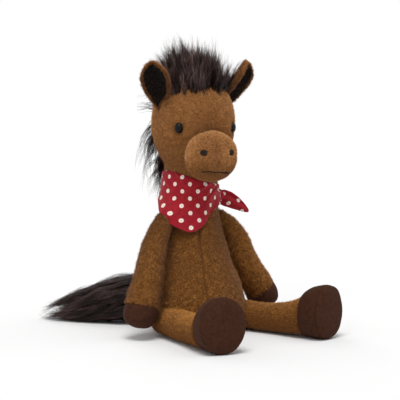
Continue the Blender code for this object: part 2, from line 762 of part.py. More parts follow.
def as_mesh(item):
    """A curve object made a mesh, with its caps welded on."""
    graph = bpy.context.evaluated_depsgraph_get()
    mesh = bpy.data.meshes.new_from_object(item.evaluated_get(graph), depsgraph=graph)
    shape = bmesh.new()
    shape.from_mesh(mesh)
    bmesh.ops.remove_doubles(shape, verts=shape.verts, dist=WELD)
    bmesh.ops.recalc_face_normals(shape, faces=shape.faces)
    shape.to_mesh(mesh)
    shape.free()
    name = item.name
    bpy.data.objects.remove(item, do_unlink=True)
    return add_object(name, mesh)


def leaf(name, length, start, half_width, cup, thickness, lift):
    """A cupped leaf that stands on Z and opens towards -Y, as a plate of a thickness."""
    mesh = bpy.data.meshes.new(name)
    shape = bmesh.new()
    bmesh.ops.create_grid(shape, x_segments=EAR_COLUMNS, y_segments=EAR_ROWS, size=1.0)
    for vert in shape.verts:
        across = vert.co.x
        up = (vert.co.y + 1.0) / 2
        share = EAR_WIDTH_SHARES[round(up * EAR_ROWS)]
        width = half_width * share
        bow = cup * share * across**2
        vert.co = Vector((across * width, -bow - lift, start + up * length))
    shape.to_mesh(mesh)
    shape.free()
    item = add_object(name, mesh)
    plate = item.modifiers.new("Fabric", "SOLIDIFY")
    plate.thickness = thickness
    plate.offset = -1.0
    plate.use_even_offset = True
    bake(item)
    shape = bmesh.new()
    shape.from_mesh(item.data)
    bmesh.ops.recalc_face_normals(shape, faces=shape.faces)
    shape.to_mesh(item.data)
    shape.free()
    return item


def make_ears(pivot):
    for side_name, side in SIDES.items():
        place = Vector((side * EAR_BASE_OUT, HEAD_BACK - EAR_BASE_AHEAD, EAR_BASE_HEIGHT))
        lean = Matrix.Rotation(side * EAR_LEAN, 4, "Y")
        opening = Matrix.Rotation(side * EAR_OPEN_ANGLE, 4, "Z")
        nod = Matrix.Rotation(EAR_NOD, 4, "X")
        stand = Matrix.Translation(place) @ nod @ lean @ opening
        ear = leaf(f"ear_{side_name}", EAR_LENGTH, 0.0, EAR_HALF_WIDTH, EAR_CUP, EAR_THICKNESS,
                   0.0)
        ear.data.transform(stand)
        combine(ear, head_form("head", -SEAM_GAP))
        lining = leaf(f"ear_lining_{side_name}", EAR_LENGTH * LINING_LENGTH_SHARE,
                      EAR_LENGTH * LINING_START_SHARE, EAR_HALF_WIDTH * LINING_WIDTH_SHARE,
                      EAR_CUP * LINING_WIDTH_SHARE, LINING_THICKNESS,
                      LINING_THICKNESS + SEAM_GAP * 2)
        lining.data.transform(stand)
        combine(lining, head_form("head", -SEAM_GAP))
        finish(ear, "fur", pivot)
        finish(lining, "lining", pivot)


def tufted(item, centre, size, tufts):
    """Waves the surface of a tuft of hair into locks that run up it."""
    centre = Vector(centre)
    for vert in item.data.vertices:
        out = vert.co - centre
        angle = math.atan2(out.y, out.x)
        rise = max(out.z, 0.0) / FORELOCK_HALF_HEIGHT
        vert.co += out.normalized() * size * (math.cos(tufts * angle) * (1.0 - rise**4) - 0.5)
    return item


def make_forelock(pivot):
    centre = (0.0, HEAD_BACK, HEAD_TOP + FORELOCK_RISE)
    radii = (FORELOCK_HALF_WIDTH, FORELOCK_HALF_LENGTH, FORELOCK_HALF_HEIGHT)
    tuft = ball("forelock", centre, radii, segments=3 * FORELOCK_TUFTS, rings=8)
    tufted(tuft, centre, FORELOCK_TUFT, FORELOCK_TUFTS)
    combine(tuft, head_form("head", -SEAM_GAP))
    for side in SIDES.values():
        place = Vector((side * EAR_BASE_OUT, HEAD_BACK - EAR_BASE_AHEAD, EAR_BASE_HEIGHT))
        way = Matrix.Rotation(EAR_NOD, 4, "X") @ Matrix.Rotation(side * EAR_LEAN, 4, "Y")
        way = way @ Vector((0.0, 0.0, 1.0))
        start = place - way * EAR_HALF_WIDTH
        room = rod("room", start, way, EAR_HALF_WIDTH + EAR_THICKNESS, 2 * EAR_LENGTH, 24)
        combine(tuft, room)
    keep_largest(tuft)
    finish(tuft, "hair", pivot)


def keep_largest(item):
    """Drops the crumbs that a cut leaves beside the main body."""
    shape = bmesh.new()
    shape.from_mesh(item.data)
    left = set(shape.verts)
    islands = []
    while left:
        front = [left.pop()]
        island = set(front)
        while front:
            vert = front.pop()
            for edge in vert.link_edges:
                other = edge.other_vert(vert)
                if other in left:
                    left.remove(other)
                    island.add(other)
                    front.append(other)
        islands.append(island)
    islands.sort(key=len)
    for island in islands[:-1]:
        bmesh.ops.delete(shape, geom=list(island), context="VERTS")
    shape.to_mesh(item.data)
    shape.free()
    return item


def make_mane(pivot):
    """Hair down the back of the head and neck that falls to the horse's right."""
    rings = []
    for step in range(MANE_STEPS + 1):
        share = step / MANE_STEPS
        height = HEAD_TOP - MANE_DROP - share * MANE_LENGTH
        inner = max(head_radius_at(height) + SEAM_GAP * 2, NECK_RADIUS + MANE_CLEARANCE)
        thick = MANE_THICKNESS * MANE_THICKNESS_SHARES[step]
        middle = (MANE_START + MANE_END) / 2
        half = (MANE_END - MANE_START) / 2 * MANE_SPREAD_SHARES[step]
        angles = [middle - half + 2 * half * lock / (MANE_LOCKS - 1) for lock in range(MANE_LOCKS)]
        row = []
        for index, angle in enumerate(angles):
            wave = 1.0 + MANE_LOCK_SHARE * math.cos(index * math.pi)
            row.append((angle, inner + thick * wave * MANE_EDGE_SHARES[index]))
        for angle in reversed(angles):
            row.append((angle, inner))
        rings.append([
            Vector((reach * math.sin(angle), HEAD_BACK - reach * math.cos(angle), height))
            for angle, reach in row
        ])
    mane = loft("mane", rings)
    combine(mane, head_form("head", -SEAM_GAP))
    keep_largest(mane)
    finish(mane, "hair", pivot)


def arm_rings(side, distance, end):
    """Rings down an arm, from the round root to the cuff, and the way it ends."""
    track = [Vector((side * out, back, SHOULDER_HEIGHT - ARM_LENGTH * share))
             for out, back, share in zip(ARM_OUT, ARM_BACK, ARM_DROP_SHARES)]
    rings = []
    way = (track[1] - track[0]).normalized()
    root = ARM_ROOT_RADIUS - distance
    for step in range(1, ROOT_STEPS):
        angle = QUARTER_TURN * step / ROOT_STEPS
        centre = track[0] - way * root * math.cos(angle)
        radius = root * math.sin(angle)
        rings.append(ring(centre, way, radius, radius, ARM_SEGMENTS))
    for index, centre in enumerate(track):
        way = (track[min(index + 1, len(track) - 1)] - track[max(index - 1, 0)]).normalized()
        radius = ARM_RADII[index] - distance
        rings.append(ring(centre, way, radius, radius, ARM_SEGMENTS))
    if end > 0.0:
        rings.append(ring(centre + way * end, way, radius, radius, ARM_SEGMENTS))
    return rings, centre, way


def make_arm(side_name, side, pivot):
    rings, cuff, way = arm_rings(side, 0.0, 0.0)
    sleeve = loft(f"arm_{side_name}_skin", rings)
    combine(sleeve, loft("hollow", arm_rings(side, PILE_SKIN, OVERRUN)[0]))
    filling_rings = arm_rings(side, PILE_SKIN + 2 * SEAM_GAP, 0.0)[0]
    stuffing = loft(f"arm_{side_name}_stuffing", filling_rings)
    finish(sleeve, "fur", pivot)
    finish(stuffing, "stuffing", pivot)
    rings = []
    shares = list(zip(HAND_RADIUS_SHARES, HAND_LENGTH_SHARES))
    for radius_share, length_share in shares:
        centre = cuff + way * (SEAM_GAP + HAND_LENGTH * length_share)
        radius = max(ARM_RADII[-1] * radius_share, SEAM_GAP)
        rings.append(ring(centre, way, radius, radius * HAND_DEPTH_SHARE, ARM_SEGMENTS))
    finish(loft(f"hand_hoof_{side_name}", rings), "suede", pivot)


def make_leg(side_name, side, pivot):
    hip = hip_place(side)
    way = leg_way(side)
    sleeve = loft(f"leg_{side_name}_skin", leg_rings(side, 0.0, 0.0))
    combine(sleeve, loft("hollow", leg_rings(side, PILE_SKIN, OVERRUN)))
    stuffing = loft(f"leg_{side_name}_stuffing", leg_rings(side, PILE_SKIN + SEAM_GAP, 0.0))
    rings = []
    cuff = hip + way * (LEG_LENGTH + SEAM_GAP)
    for radius_share, length_share in zip(FOOT_RADIUS_SHARES, FOOT_LENGTH_SHARES):
        height = max(FOOT_HALF_HEIGHT * radius_share, SEAM_GAP)
        centre = cuff + way * FOOT_LENGTH * length_share
        centre.z = FOOT_HALF_HEIGHT - FLAT_CUT
        if length_share < FOOT_LENGTH_SHARES[2]:
            centre.z = height - FLAT_CUT
        rings.append(ring(centre, way, height * FOOT_WIDTH_SHARE, height, LEG_SEGMENTS))
    hoof = loft(f"foot_hoof_{side_name}", rings)
    for item in (sleeve, stuffing, hoof):
        combine(item, floor_block())
    finish(sleeve, "fur", pivot)
    finish(stuffing, "stuffing", pivot)
    finish(hoof, "suede", pivot)


def make_tail(pivot):
    root = Vector((0.0, TAIL_ROOT_BACK, TAIL_ROOT_HEIGHT))
    way = Vector((-math.sin(TAIL_SWEEP), math.cos(TAIL_SWEEP), 0.0))
    rings = []
    for step in range(1, ROOT_STEPS):
        angle = QUARTER_TURN * step / ROOT_STEPS
        centre = root - way * TAIL_RADII[0] * math.cos(angle)
        radius = TAIL_RADII[0] * math.sin(angle)
        rings.append(ring(centre, way, radius, radius, TAIL_SEGMENTS))
    stations = smooth(list(zip(TAIL_LENGTH_SHARES, TAIL_RADII)), 2)
    for index, (share, radius) in enumerate(stations):
        centre = root + way * TAIL_LENGTH * share
        settle = min(share / TAIL_LENGTH_SHARES[1], 1.0)
        centre.z = root.z + (radius - FLAT_CUT - root.z) * settle
        tuft = TAIL_TUFT if index else 0.0
        wide = radius - tuft
        rings.append(ring(centre, way, wide, wide, TAIL_SEGMENTS, tuft, TAIL_TUFTS))
    tail = loft("tail", rings)
    combine(tail, floor_block())
    finish(tail, "hair", pivot)


def along(table, angle):
    """The value of a table of heights round the neck at an angle."""
    points = list(zip(BANDANA_TURN_DEGREES, table))
    degrees = math.degrees(angle)
    degrees = (degrees + 180.0) % 360.0 - 180.0
    for (start, before), (stop, after) in zip(points, points[1:]):
        if start <= degrees <= stop:
            share = (degrees - start) / (stop - start)
            ease = share * share * (3 - 2 * share)
            return before + (after - before) * ease
    return table[0]


def neck_axis_back(height):
    """How far back the torso's and neck's middle line lies at a height."""
    return NECK_BACK * min(height / TORSO_HEIGHT, 1.0)


def bandana_reach(angle, height, share):
    """The inner radius of the tied cloth, lifted where it lies over the right shoulder."""
    snug = max(torso_radius_at(height), NECK_RADIUS) + CLOTH_EASE
    off = (angle - SHOULDER_RISE_ANGLE + math.pi) % math.tau - math.pi
    bump = math.exp(-(off / SHOULDER_RISE_SPREAD) ** 2)
    drop = min(max((TORSO_HEIGHT + SHOULDER_RISE_TOP - height) / SHOULDER_RISE_DROP, 0.0), 1.0)
    drop = drop * drop * (3 - 2 * drop)
    fold = BANDANA_FOLD * (1.0 + math.cos(BANDANA_FOLDS * (angle - KNOT_ANGLE)
                                           + BANDANA_FOLD_DRIFT * share))
    return snug + SHOULDER_RISE * bump * drop + fold * share


def knot_height():
    """The knot's middle, a step below the cloth's top edge there."""
    return TORSO_HEIGHT + along(BANDANA_TOP_RISES, KNOT_ANGLE) - KNOT_DROP


def make_bandana():
    mesh = bpy.data.meshes.new("bandana_wrap")
    shape = bmesh.new()
    rows = []
    for row in range(BANDANA_ROWS + 1):
        share = row / BANDANA_ROWS
        line = []
        for column in range(BANDANA_COLUMNS):
            angle = math.tau * column / BANDANA_COLUMNS - math.pi
            top = along(BANDANA_TOP_RISES, angle)
            height = TORSO_HEIGHT + top + (along(BANDANA_BOTTOM_RISES, angle) - top) * share
            reach = bandana_reach(angle, height, share)
            back = neck_axis_back(height)
            place = (reach * math.sin(angle), back - reach * math.cos(angle), height)
            line.append(shape.verts.new(place))
        rows.append(line)
    for row, following in zip(rows, rows[1:]):
        for index in range(BANDANA_COLUMNS):
            across = (index + 1) % BANDANA_COLUMNS
            shape.faces.new((row[index], following[index], following[across], row[across]))
    shape.to_mesh(mesh)
    shape.free()
    wrap = add_object("bandana_wrap", mesh)
    cloth = wrap.modifiers.new("Cloth", "SOLIDIFY")
    cloth.thickness = CLOTH
    cloth.offset = 1.0
    cloth.use_even_offset = True
    bake(wrap)
    out = Vector((math.sin(KNOT_ANGLE), -math.cos(KNOT_ANGLE), 0.0))
    height = knot_height()
    wrap_reach = bandana_reach(KNOT_ANGLE, height, 1.0) + CLOTH
    middle = Vector((0.0, neck_axis_back(height), height))
    centre = middle + out * (wrap_reach + KNOT_RADIUS / 2)
    knot_radii = (KNOT_RADIUS, KNOT_RADIUS, KNOT_HALF_HEIGHT)
    knot = ball("bandana_knot", centre, knot_radii, 14, 8)
    trim = turned("trim", wrap_outline(SEAM_GAP), BANDANA_COLUMNS)
    trim.data.transform(Matrix.Translation((0.0, NECK_BACK, 0.0)))
    combine(knot, trim)
    keep_largest(knot)
    end = make_bandana_end(centre)
    combine(end, ball("room", centre, [radius + SEAM_GAP for radius in knot_radii], 14, 8))
    keep_largest(end)
    finish(wrap, "red_cotton")
    finish(knot, "red_cotton")
    finish(end, "red_cotton")


def wrap_outline(distance):
    """A round outline just outside the cloth at the knot."""
    height = knot_height()
    reach = bandana_reach(KNOT_ANGLE, height, 1.0) + CLOTH + distance + BANDANA_FOLD
    return [
        Vector((0.0, height + OVERRUN)),
        Vector((reach, height + OVERRUN)),
        Vector((reach, height - OVERRUN)),
        Vector((0.0, height - OVERRUN)),
    ]


def make_bandana_end(centre):
    """The pointed end of the cloth that stands out of the knot."""
    level = Vector((math.sin(END_ANGLE), -math.cos(END_ANGLE), 0.0))
    way = level * math.cos(END_DROOP) - Vector((0.0, 0.0, math.sin(END_DROOP)))
    table = zip(range(len(END_HALF_WIDTHS)), END_HALF_WIDTHS, END_HALF_THICKNESSES)
    rings = []
    for reach, width, half in smooth(list(table), 2):
        place = centre + way * END_LENGTH * reach / (len(END_HALF_WIDTHS) - 1)
        rings.append(ring(place, way, half, width, END_SEGMENTS))
    return loft("bandana_end", rings)


clear_scene()
PARTS = make_collection("plush_horse")

make_torso()
neck_pivot = add_pivot("neck_pivot", (0.0, NECK_BACK, TORSO_HEIGHT), HEAD_TURN)
make_neck(neck_pivot)
head_pivot = add_pivot("head_pivot", (0.0, NECK_BACK, NECK_JOINT_HEIGHT), 0.0, neck_pivot)
make_head(head_pivot)
make_muzzle(head_pivot)
make_ears(head_pivot)
make_forelock(head_pivot)
make_mane(head_pivot)
for limb_side, limb_sign in SIDES.items():
    make_arm(limb_side, limb_sign, add_pivot(f"shoulder_{limb_side}", shoulder_place(limb_sign)))
    make_leg(limb_side, limb_sign, add_pivot(f"hip_{limb_side}", hip_place(limb_sign)))
tail_pivot = add_pivot("tail_pivot", (0.0, TAIL_ROOT_BACK, TAIL_ROOT_HEIGHT))
make_tail(tail_pivot)
make_bandana()
bpy.context.view_layer.update()
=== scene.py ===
import math

import bpy
import numpy as np
from mathutils import Matrix, Vector, noise
from mathutils.bvhtree import BVHTree


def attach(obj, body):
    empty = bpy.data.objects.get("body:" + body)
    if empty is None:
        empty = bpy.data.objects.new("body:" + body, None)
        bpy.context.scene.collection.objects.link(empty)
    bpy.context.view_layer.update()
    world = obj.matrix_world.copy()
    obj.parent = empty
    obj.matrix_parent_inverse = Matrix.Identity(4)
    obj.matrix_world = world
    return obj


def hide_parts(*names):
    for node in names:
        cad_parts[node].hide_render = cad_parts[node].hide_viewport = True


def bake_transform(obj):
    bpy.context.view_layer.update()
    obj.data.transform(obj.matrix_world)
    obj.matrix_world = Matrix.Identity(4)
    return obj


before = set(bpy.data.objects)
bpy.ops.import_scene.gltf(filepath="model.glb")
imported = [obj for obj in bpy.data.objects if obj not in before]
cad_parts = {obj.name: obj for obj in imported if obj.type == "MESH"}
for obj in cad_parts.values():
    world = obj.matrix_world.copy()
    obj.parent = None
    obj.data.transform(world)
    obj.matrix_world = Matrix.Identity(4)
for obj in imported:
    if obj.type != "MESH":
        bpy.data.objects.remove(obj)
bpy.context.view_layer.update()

# A sitting plush horse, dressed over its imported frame. Metres, +Z up, facing -Y,
# so its right side is -X. Shapes of the head are made facing -Y and turned with it.

# The noise starts from a seed, so that each run gives the same pile
noise.seed_set(1)

# View and light
PIXEL_VIEW_AZIMUTH = math.radians(-40.0)
PIXEL_VIEW_ELEVATION = math.radians(4.3)
CAMERA_DISTANCE = 1.5
CAMERA_TARGET = (0.0008, -0.0007, 0.1392)
FRAME_WIDTH = 0.4242
SENSOR_WIDTH = 36.0
FLOOR_REACH = 6.0
WORLD_LIGHT = 0.34
LAMP_AIM = Vector((0.0, 0.0, 0.12))
# Suns as wide as big softboxes: place, spread in degrees and power
LAMPS = {
    "key": ((-0.45, -0.42, 1.5), 30.0, 1.75),
    "fill": ((0.85, -0.55, 1.1), 60.0, 0.3),
    "rim": ((0.3, 1.00, 1.1), 50.0, 0.4),
    "side": ((-0.95, -0.55, 0.75), 30.0, 0.28),
}

LEFT = 1
RIGHT = -1
SIDES = {"left": LEFT, "right": RIGHT}
UP = np.array((0.0, 0.0, 1.0))

# Torso and neck
TORSO_HEIGHT = 0.136
TORSO_RADIUS = 0.0505
TORSO_DEPTH_SHARE = 0.96
TORSO_RADIUS_SHARES = (0.0, 0.74, 0.9, 0.99, 1.0, 0.93, 0.78, 0.665, 0.59, 0.56)
TORSO_HEIGHT_SHARES = (0.0, 0.0, 0.035, 0.12, 0.24, 0.38, 0.56, 0.74, 0.9, 1.0)
BELLY_SIZE = 0.0018
SEAM_ANGLE = math.radians(-27.0)
SEAM_DEPTH = 0.0019
SEAM_HALF_WIDTH = 0.0022
NECK_BACK = 0.013
NECK_AXIS = np.array((0.0, NECK_BACK, 0.0))
NECK_RADIUS = 0.0285
NECK_TOP = 0.196

# Head
HEAD_TURN = math.radians(-13.0)
HEAD_BACK = 0.008
HEAD_RADIUS = 0.0435
HEAD_BOTTOM = 0.17
HEAD_LENGTH = 0.0975
HEAD_RADIUS_SHARES = (0.0, 0.5, 0.7, 0.85, 0.95, 1.0, 0.97, 0.83, 0.58, 0.3, 0.0)
HEAD_HEIGHT_SHARES = (0.0, 0.025, 0.1, 0.21, 0.34, 0.5, 0.67, 0.83, 0.94, 0.99, 1.0)
SNOUT_PLACE = (0.0, -0.01, 0.189)
SNOUT_RADII = (0.026, 0.033, 0.026)
CHEEK_PLACE = (0.0, -0.001, 0.193)
CHEEK_RADII = (0.037, 0.033, 0.0235)
HEAD_VOXEL = 0.0017
HEAD_SMOOTHING = 14
BROW_SEAM_DEPTH = 0.0007
BROW_SEAM_FOOT = 0.205

# Muzzle
MUZZLE_SEAM = -0.0262
MUZZLE_LENGTH = 0.0285
MUZZLE_HALF_WIDTH = 0.0266
MUZZLE_HALF_HEIGHT = 0.0256
MUZZLE_HEIGHT = 0.1872
MUZZLE_SQUARENESS = 2.12
MUZZLE_RADIUS_SHARES = (0.8, 0.94, 1.0, 1.01, 0.97, 0.87, 0.68, 0.42, 0.0)
MUZZLE_LENGTH_SHARES = (-0.1, -0.06, 0.06, 0.22, 0.45, 0.68, 0.86, 0.965, 1.0)
NOSTRIL_SPACING = 0.0305
NOSTRIL_HEIGHT = 0.1915
NOSTRIL_RADIUS = 0.0031
NOSTRIL_THREAD = 0.00042
FACE_SHIFT = -0.0018
LIP_HEIGHT = 0.1795
MOUTH_HALF_WIDTH = 0.0155
MOUTH_HEIGHT = 0.1716
MOUTH_DROOP = 0.0003
MOUTH_TILT = 0.0012
MOUTH_THREAD = 0.00068
MOUTH_STITCHES = 9

# Eyes
EYE_RADIUS = 0.0056
EYE_WIDTH_SHARE = 0.8
EYE_SINK = 0.0012
EYE_ANGLE = math.radians(47.0)
EYE_HEIGHT = 0.2163
EYE_REACH_SHARES = (0.62, 0.98, 1.0, 0.93, 0.74, 0.42, 0.03)
EYE_RISE_SHARES = (-0.55, -0.3, 0.0, 0.3, 0.52, 0.66, 0.71)
SOCKET_DEPTH = 0.0012
SOCKET_RADIUS = 0.0065

# Ears, with the lining's shares of their width and length and where it starts
EAR_LENGTH = 0.048
EAR_HALF_WIDTH = 0.014
EAR_CUP = 0.01127
EAR_CURL = 0.0035
EAR_SLANT = 0.006
EAR_OUT = {LEFT: 0.0335, RIGHT: 0.0374}
EAR_BACK = 0.002
EAR_FOOT = {LEFT: 0.244, RIGHT: 0.2422}
EAR_LEAN = math.radians(23.0)
EAR_NOD = math.radians(14.0)
EAR_OPEN_ANGLE = math.radians(34.0)
EAR_WIDTH_SHARES = (0.38, 0.58, 0.77, 0.9, 0.93, 0.78, 0.32)
EAR_THICKNESS = 0.0024
LINING_SHARES = (0.85, 0.82, 0.12)
LINING_LIFT = 0.0014
LINING_THICKNESS = 0.0008

# Limbs: way out, back, height and half-thickness down each arm
ARM_OUT = {LEFT: (0.036, 0.0505, 0.0606, 0.0706, 0.0812),
           RIGHT: (0.0372, 0.0535, 0.0672, 0.0742, 0.0797)}
ARM_BACK = (0.012, 0.004, -0.001, -0.003, -0.0045)
ARM_HEIGHTS = {LEFT: (0.121, 0.102, 0.074, 0.055, 0.04),
               RIGHT: (0.121, 0.102, 0.071, 0.05, 0.0355)}
ARM_RADII = {LEFT: (0.0085, 0.0122, 0.0158, 0.017, 0.017),
             RIGHT: (0.009, 0.0122, 0.015, 0.0165, 0.0177)}
SHOULDER_CAP = 0.0045
STUFFING_GAP = 0.0034
HAND_RADIUS = 0.0181
HAND_LENGTH = 0.0245
HAND_RADIUS_SHARES = (0.9, 1.0, 1.03, 0.96, 0.74, 0.4, 0.0)
HAND_LENGTH_SHARES = (-0.15, 0.1, 0.35, 0.62, 0.85, 0.96, 1.0)
HAND_SEAM_DEPTH = 0.0005
HIP = (0.043, -0.003)
LEG_SPLAYS = {LEFT: math.radians(10.5), RIGHT: math.radians(14.5)}
LEG_REACH = (-0.0175, -0.0125, -0.004, 0.012, 0.03, 0.058, 0.085, 0.103)
LEG_HALF_HEIGHTS = (0.006, 0.0125, 0.0153, 0.0149, 0.0144, 0.0149, 0.0178, 0.0222)
LEG_HALF_WIDTHS = (0.006, 0.014, 0.0184, 0.0188, 0.0184, 0.0182, 0.0198, 0.0224)
LEG_MIDDLES = (0.0156, 0.0156, 0.0156, 0.0151, 0.0147, 0.0152, 0.0184, 0.023)
# Painted shade on each leg's pile, darker on the left leg
LEG_SHADES = {LEFT: -0.24, RIGHT: -0.14}
FOOT_REACH = (0.0995, 0.1022, 0.1085, 0.117, 0.1245, 0.129, 0.1318, 0.1327)
FOOT_HALF_HEIGHTS = (0.0212, 0.0238, 0.0261, 0.0274, 0.0277, 0.0262, 0.0185, 0.0)
FOOT_WIDTH_SHARE = 0.87
FOOT_SQUARENESS = 2.15
SOLE_SEAM_REACH = 0.1262
SOLE_SEAM_DEPTH = 0.0015

# Hair, with the angles in degrees round the head where the mane and its wisps grow
FORELOCK_SPREAD = 0.0325
FORELOCK_TOP = 0.3165
FORELOCK_CENTRE = np.array((0.0, HEAD_BACK, 0.244))
FORELOCK_CORE = ((0.0, HEAD_BACK, 0.259), (0.03, 0.03, 0.022))
FORELOCK_STRAND = 0.00044
MANE_TOP = 0.264
MANE_LENGTH = 0.094
MANE_SHOULDER = 0.226
MANE_ANGLES = (160.0, 228.0)
MANE_HIGH_ANGLES = (160.0, 211.0)
MANE_STRAND = 0.00042
WISP_HEIGHTS = (0.254, 0.239)
WISP_ANGLES = (204.0, 217.0)
TAIL_ROOT = np.array((0.0, 0.0599, 0.02))
TAIL_SWEEP = math.radians(38.7)
TAIL_LENGTH = 0.14
TAIL_RADIUS_SHARES = (0.74, 1.0, 1.03, 0.87, 0.71, 0.6, 0.47, 0.33, 0.22)
TAIL_RADIUS_PLACES = (0.0, 0.12, 0.26, 0.44, 0.593, 0.7, 0.8, 0.93, 1.0)
TAIL_RADIUS = 0.0268
TAIL_CORE_END = 0.86
TAIL_STRAND = 0.00046
LOCK_WAVE = 0.0014

# Bandana: heights of its edges at angles round the neck, 0 in front and 90 on the left
CLOTH = 0.001
CLOTH_REACH = 0.0335
BANDANA_TURNS = (-180, -145, -112, -92, -76, -58, -42, -20, 2, 24, 50, 75, 100, 130, 180)
BANDANA_TOP = (0.169, 0.17, 0.171, 0.171, 0.17, 0.168, 0.165, 0.162, 0.159, 0.157, 0.156,
               0.156, 0.159, 0.164, 0.169)
BANDANA_BOTTOM = (0.149, 0.146, 0.139, 0.129, 0.118, 0.111, 0.108, 0.1135, 0.125, 0.133, 0.137,
                  0.138, 0.143, 0.148, 0.149)
BANDANA_POINT = (math.radians(-42.0), 0.1122)
# Its folds: angle in degrees, slope, place down the cloth, height and width
FOLDS = (
    (-62.0, 0.55, 0.1, 0.0026, 0.045), (-48.0, 0.45, 0.24, -0.002, 0.04),
    (-90.0, 0.3, 0.3, 0.0024, 0.05), (-15.0, -0.5, 0.16, 0.0022, 0.05),
    (8.0, -0.6, 0.3, -0.0018, 0.05), (40.0, 0.25, 0.45, 0.0022, 0.07),
)
DOT_SPACING = 0.018
DOT_ROW = 0.015
DOT_RADIUS = 0.0022
THREAD_PITCH = 0.0006
KNOT_ANGLE = math.radians(75.0)
KNOT_HEIGHT = 0.1425
KNOT_RADIUS = 0.0056
KNOT_REACH_SHARES = (0.35, 0.85, 1.0, 0.92, 0.55, 0.25)
KNOT_RISE_SHARES = (-1.0, -0.72, -0.1, 0.55, 0.95, 1.05)
END_LENGTH = 0.0385
END_ANGLE = math.radians(66.0)
END_DROOP = math.radians(28.0)
END_PLACES = (0.0, 0.1, 0.3, 0.55, 0.8, 0.95, 1.0)
END_HALF_WIDTHS = (0.006, 0.008, 0.0084, 0.007, 0.0045, 0.0022, 0.0008)
END_THICKNESS = 0.0012

# How deep each form is crumpled, how finely, and where in the noise
DENTS = {
    "torso": (0.0016, 38.0, 3.0), "neck": (0.0008, 60.0, 5.0), "head": (0.001, 42.0, 9.0),
    "muzzle": (0.0009, 48.0, 14.0), "ear": (0.0006, 80.0, 31.0),
    "forelock": (0.003, 110.0, 52.0), "tail": (0.0024, 90.0, 72.0),
    "stuffing": (0.0008, 90.0, 79.0), "arm": (0.0015, 46.0, 80.0), "hand": (0.001, 70.0, 84.0),
    "leg": (0.0008, 46.0, 90.0), "foot": (0.0008, 60.0, 94.0),
}
# Pile on each form: blades, their length and width, and how far they stand up and lie over
PILES = {
    "torso": (76000, 0.0027, 0.00046, 0.6, 0.9),
    "neck": (14000, 0.0028, 0.00046, 0.6, 0.9),
    "head": (56000, 0.0024, 0.00042, 0.6, 0.8),
    "muzzle": (28000, 0.002, 0.0004, 0.65, 0.7),
    "ear": (15000, 0.0024, 0.00042, 0.8, 0.5),
    "ear_lining": (4200, 0.0036, 0.0004, 0.55, 1.00),
    "arm": (26000, 0.0028, 0.00046, 0.6, 0.9),
    "leg": (36000, 0.0024, 0.00046, 0.6, 0.9),
}
PILE_CLUMPS = 420.0
PILE_SWELL = 240.0
PILE_SPECKS = 640.0
PILE_ROOT = 0.0004


# Materials

def tint(red, green, blue):
    """A colour given as a screen shows it, in the shader's own units."""
    parts = [part / 255.0 for part in (red, green, blue)]
    return tuple(p / 12.92 if p <= 0.04045 else ((p + 0.055) / 1.055) ** 2.4 for p in parts) + (1.0,)


def node(tree, kind, inputs=(), **settings):
    """A node with its settings, and the links or values of its inputs."""
    item = tree.nodes.new("ShaderNode" + kind)
    for key, value in settings.items():
        setattr(item, key, value)
    for key, value in dict(inputs).items():
        if isinstance(value, bpy.types.NodeSocket):
            tree.links.new(value, item.inputs[key])
        else:
            item.inputs[key].default_value = value
    return item


def math_node(tree, operation, *values, clamp=False):
    inputs = dict(enumerate(values))
    return node(tree, "Math", inputs, operation=operation, use_clamp=clamp).outputs[0]


def ramp(tree, factor, stops):
    """A colour ramp through (place, colour) stops."""
    item = node(tree, "ValToRGB", {"Fac": factor})
    band = item.color_ramp
    while len(band.elements) < len(stops):
        band.elements.new(0.5)
    for element, (place, colour) in zip(band.elements, stops):
        element.position = place
        element.color = colour
    return item.outputs["Color"]


def fabric_noise(tree, scale, detail=3.0, roughness=0.6):
    place = node(tree, "TexCoord").outputs["Object"]
    item = node(tree, "TexNoise", {"Vector": place, "Scale": scale, "Detail": detail,
                                   "Roughness": roughness})
    return item.outputs["Fac"]


def new_material(name, roughness, specular, sheen=0.0, sheen_roughness=0.5):
    material = bpy.data.materials.new(name)
    material.use_nodes = True
    inputs = material.node_tree.nodes["Principled BSDF"].inputs
    inputs["Roughness"].default_value = roughness
    inputs["Specular IOR Level"].default_value = specular
    inputs["Sheen Weight"].default_value = sheen
    inputs["Sheen Roughness"].default_value = sheen_roughness
    return material, material.node_tree


def paint(tree, colour, grain=None, strength=0.0, distance=0.0):
    """Links a colour, and the grain's height if there is one, to a material's shader."""
    inputs = tree.nodes["Principled BSDF"].inputs
    tree.links.new(colour, inputs["Base Color"])
    if grain is not None:
        bump = node(tree, "Bump", {"Height": grain, "Strength": strength, "Distance": distance})
        tree.links.new(bump.outputs["Normal"], inputs["Normal"])


def strand_material(name, stops, roughness=0.9, sheen=0.15, tip_share=0.45, patches=420.0, shine=0.25):
    """Colour for pile or hair that runs from root to tip and varies from tuft to tuft."""
    material, tree = new_material(name, roughness, shine, sheen, 0.45)
    tip = node(tree, "Attribute", attribute_name="tip").outputs["Fac"]
    tone = node(tree, "Attribute", attribute_name="tone").outputs["Fac"]
    along = math_node(tree, "MULTIPLY", tip, tip_share)
    varied = math_node(tree, "MULTIPLY_ADD", tone, 1.0 - tip_share, along)
    mixed = math_node(tree, "MULTIPLY_ADD", fabric_noise(tree, patches, 2.0), 0.35, varied)
    centred = math_node(tree, "SUBTRACT", mixed, 0.175, clamp=True)
    paint(tree, ramp(tree, centred, [(place, tint(*colour)) for place, *colour in stops]))
    return material


def backing_material(name, dark, light, scale, sheen=0.2, strength=0.6, distance=0.0006):
    """Cloth seen between the pile: mottled, with a fine grain."""
    material, tree = new_material(name, 0.95, 0.15, sheen)
    grain = fabric_noise(tree, scale, 5.0, 0.7)
    colour = ramp(tree, grain, [(0.3, tint(*dark)), (0.72, tint(*light))])
    paint(tree, colour, grain, strength, distance)
    return material


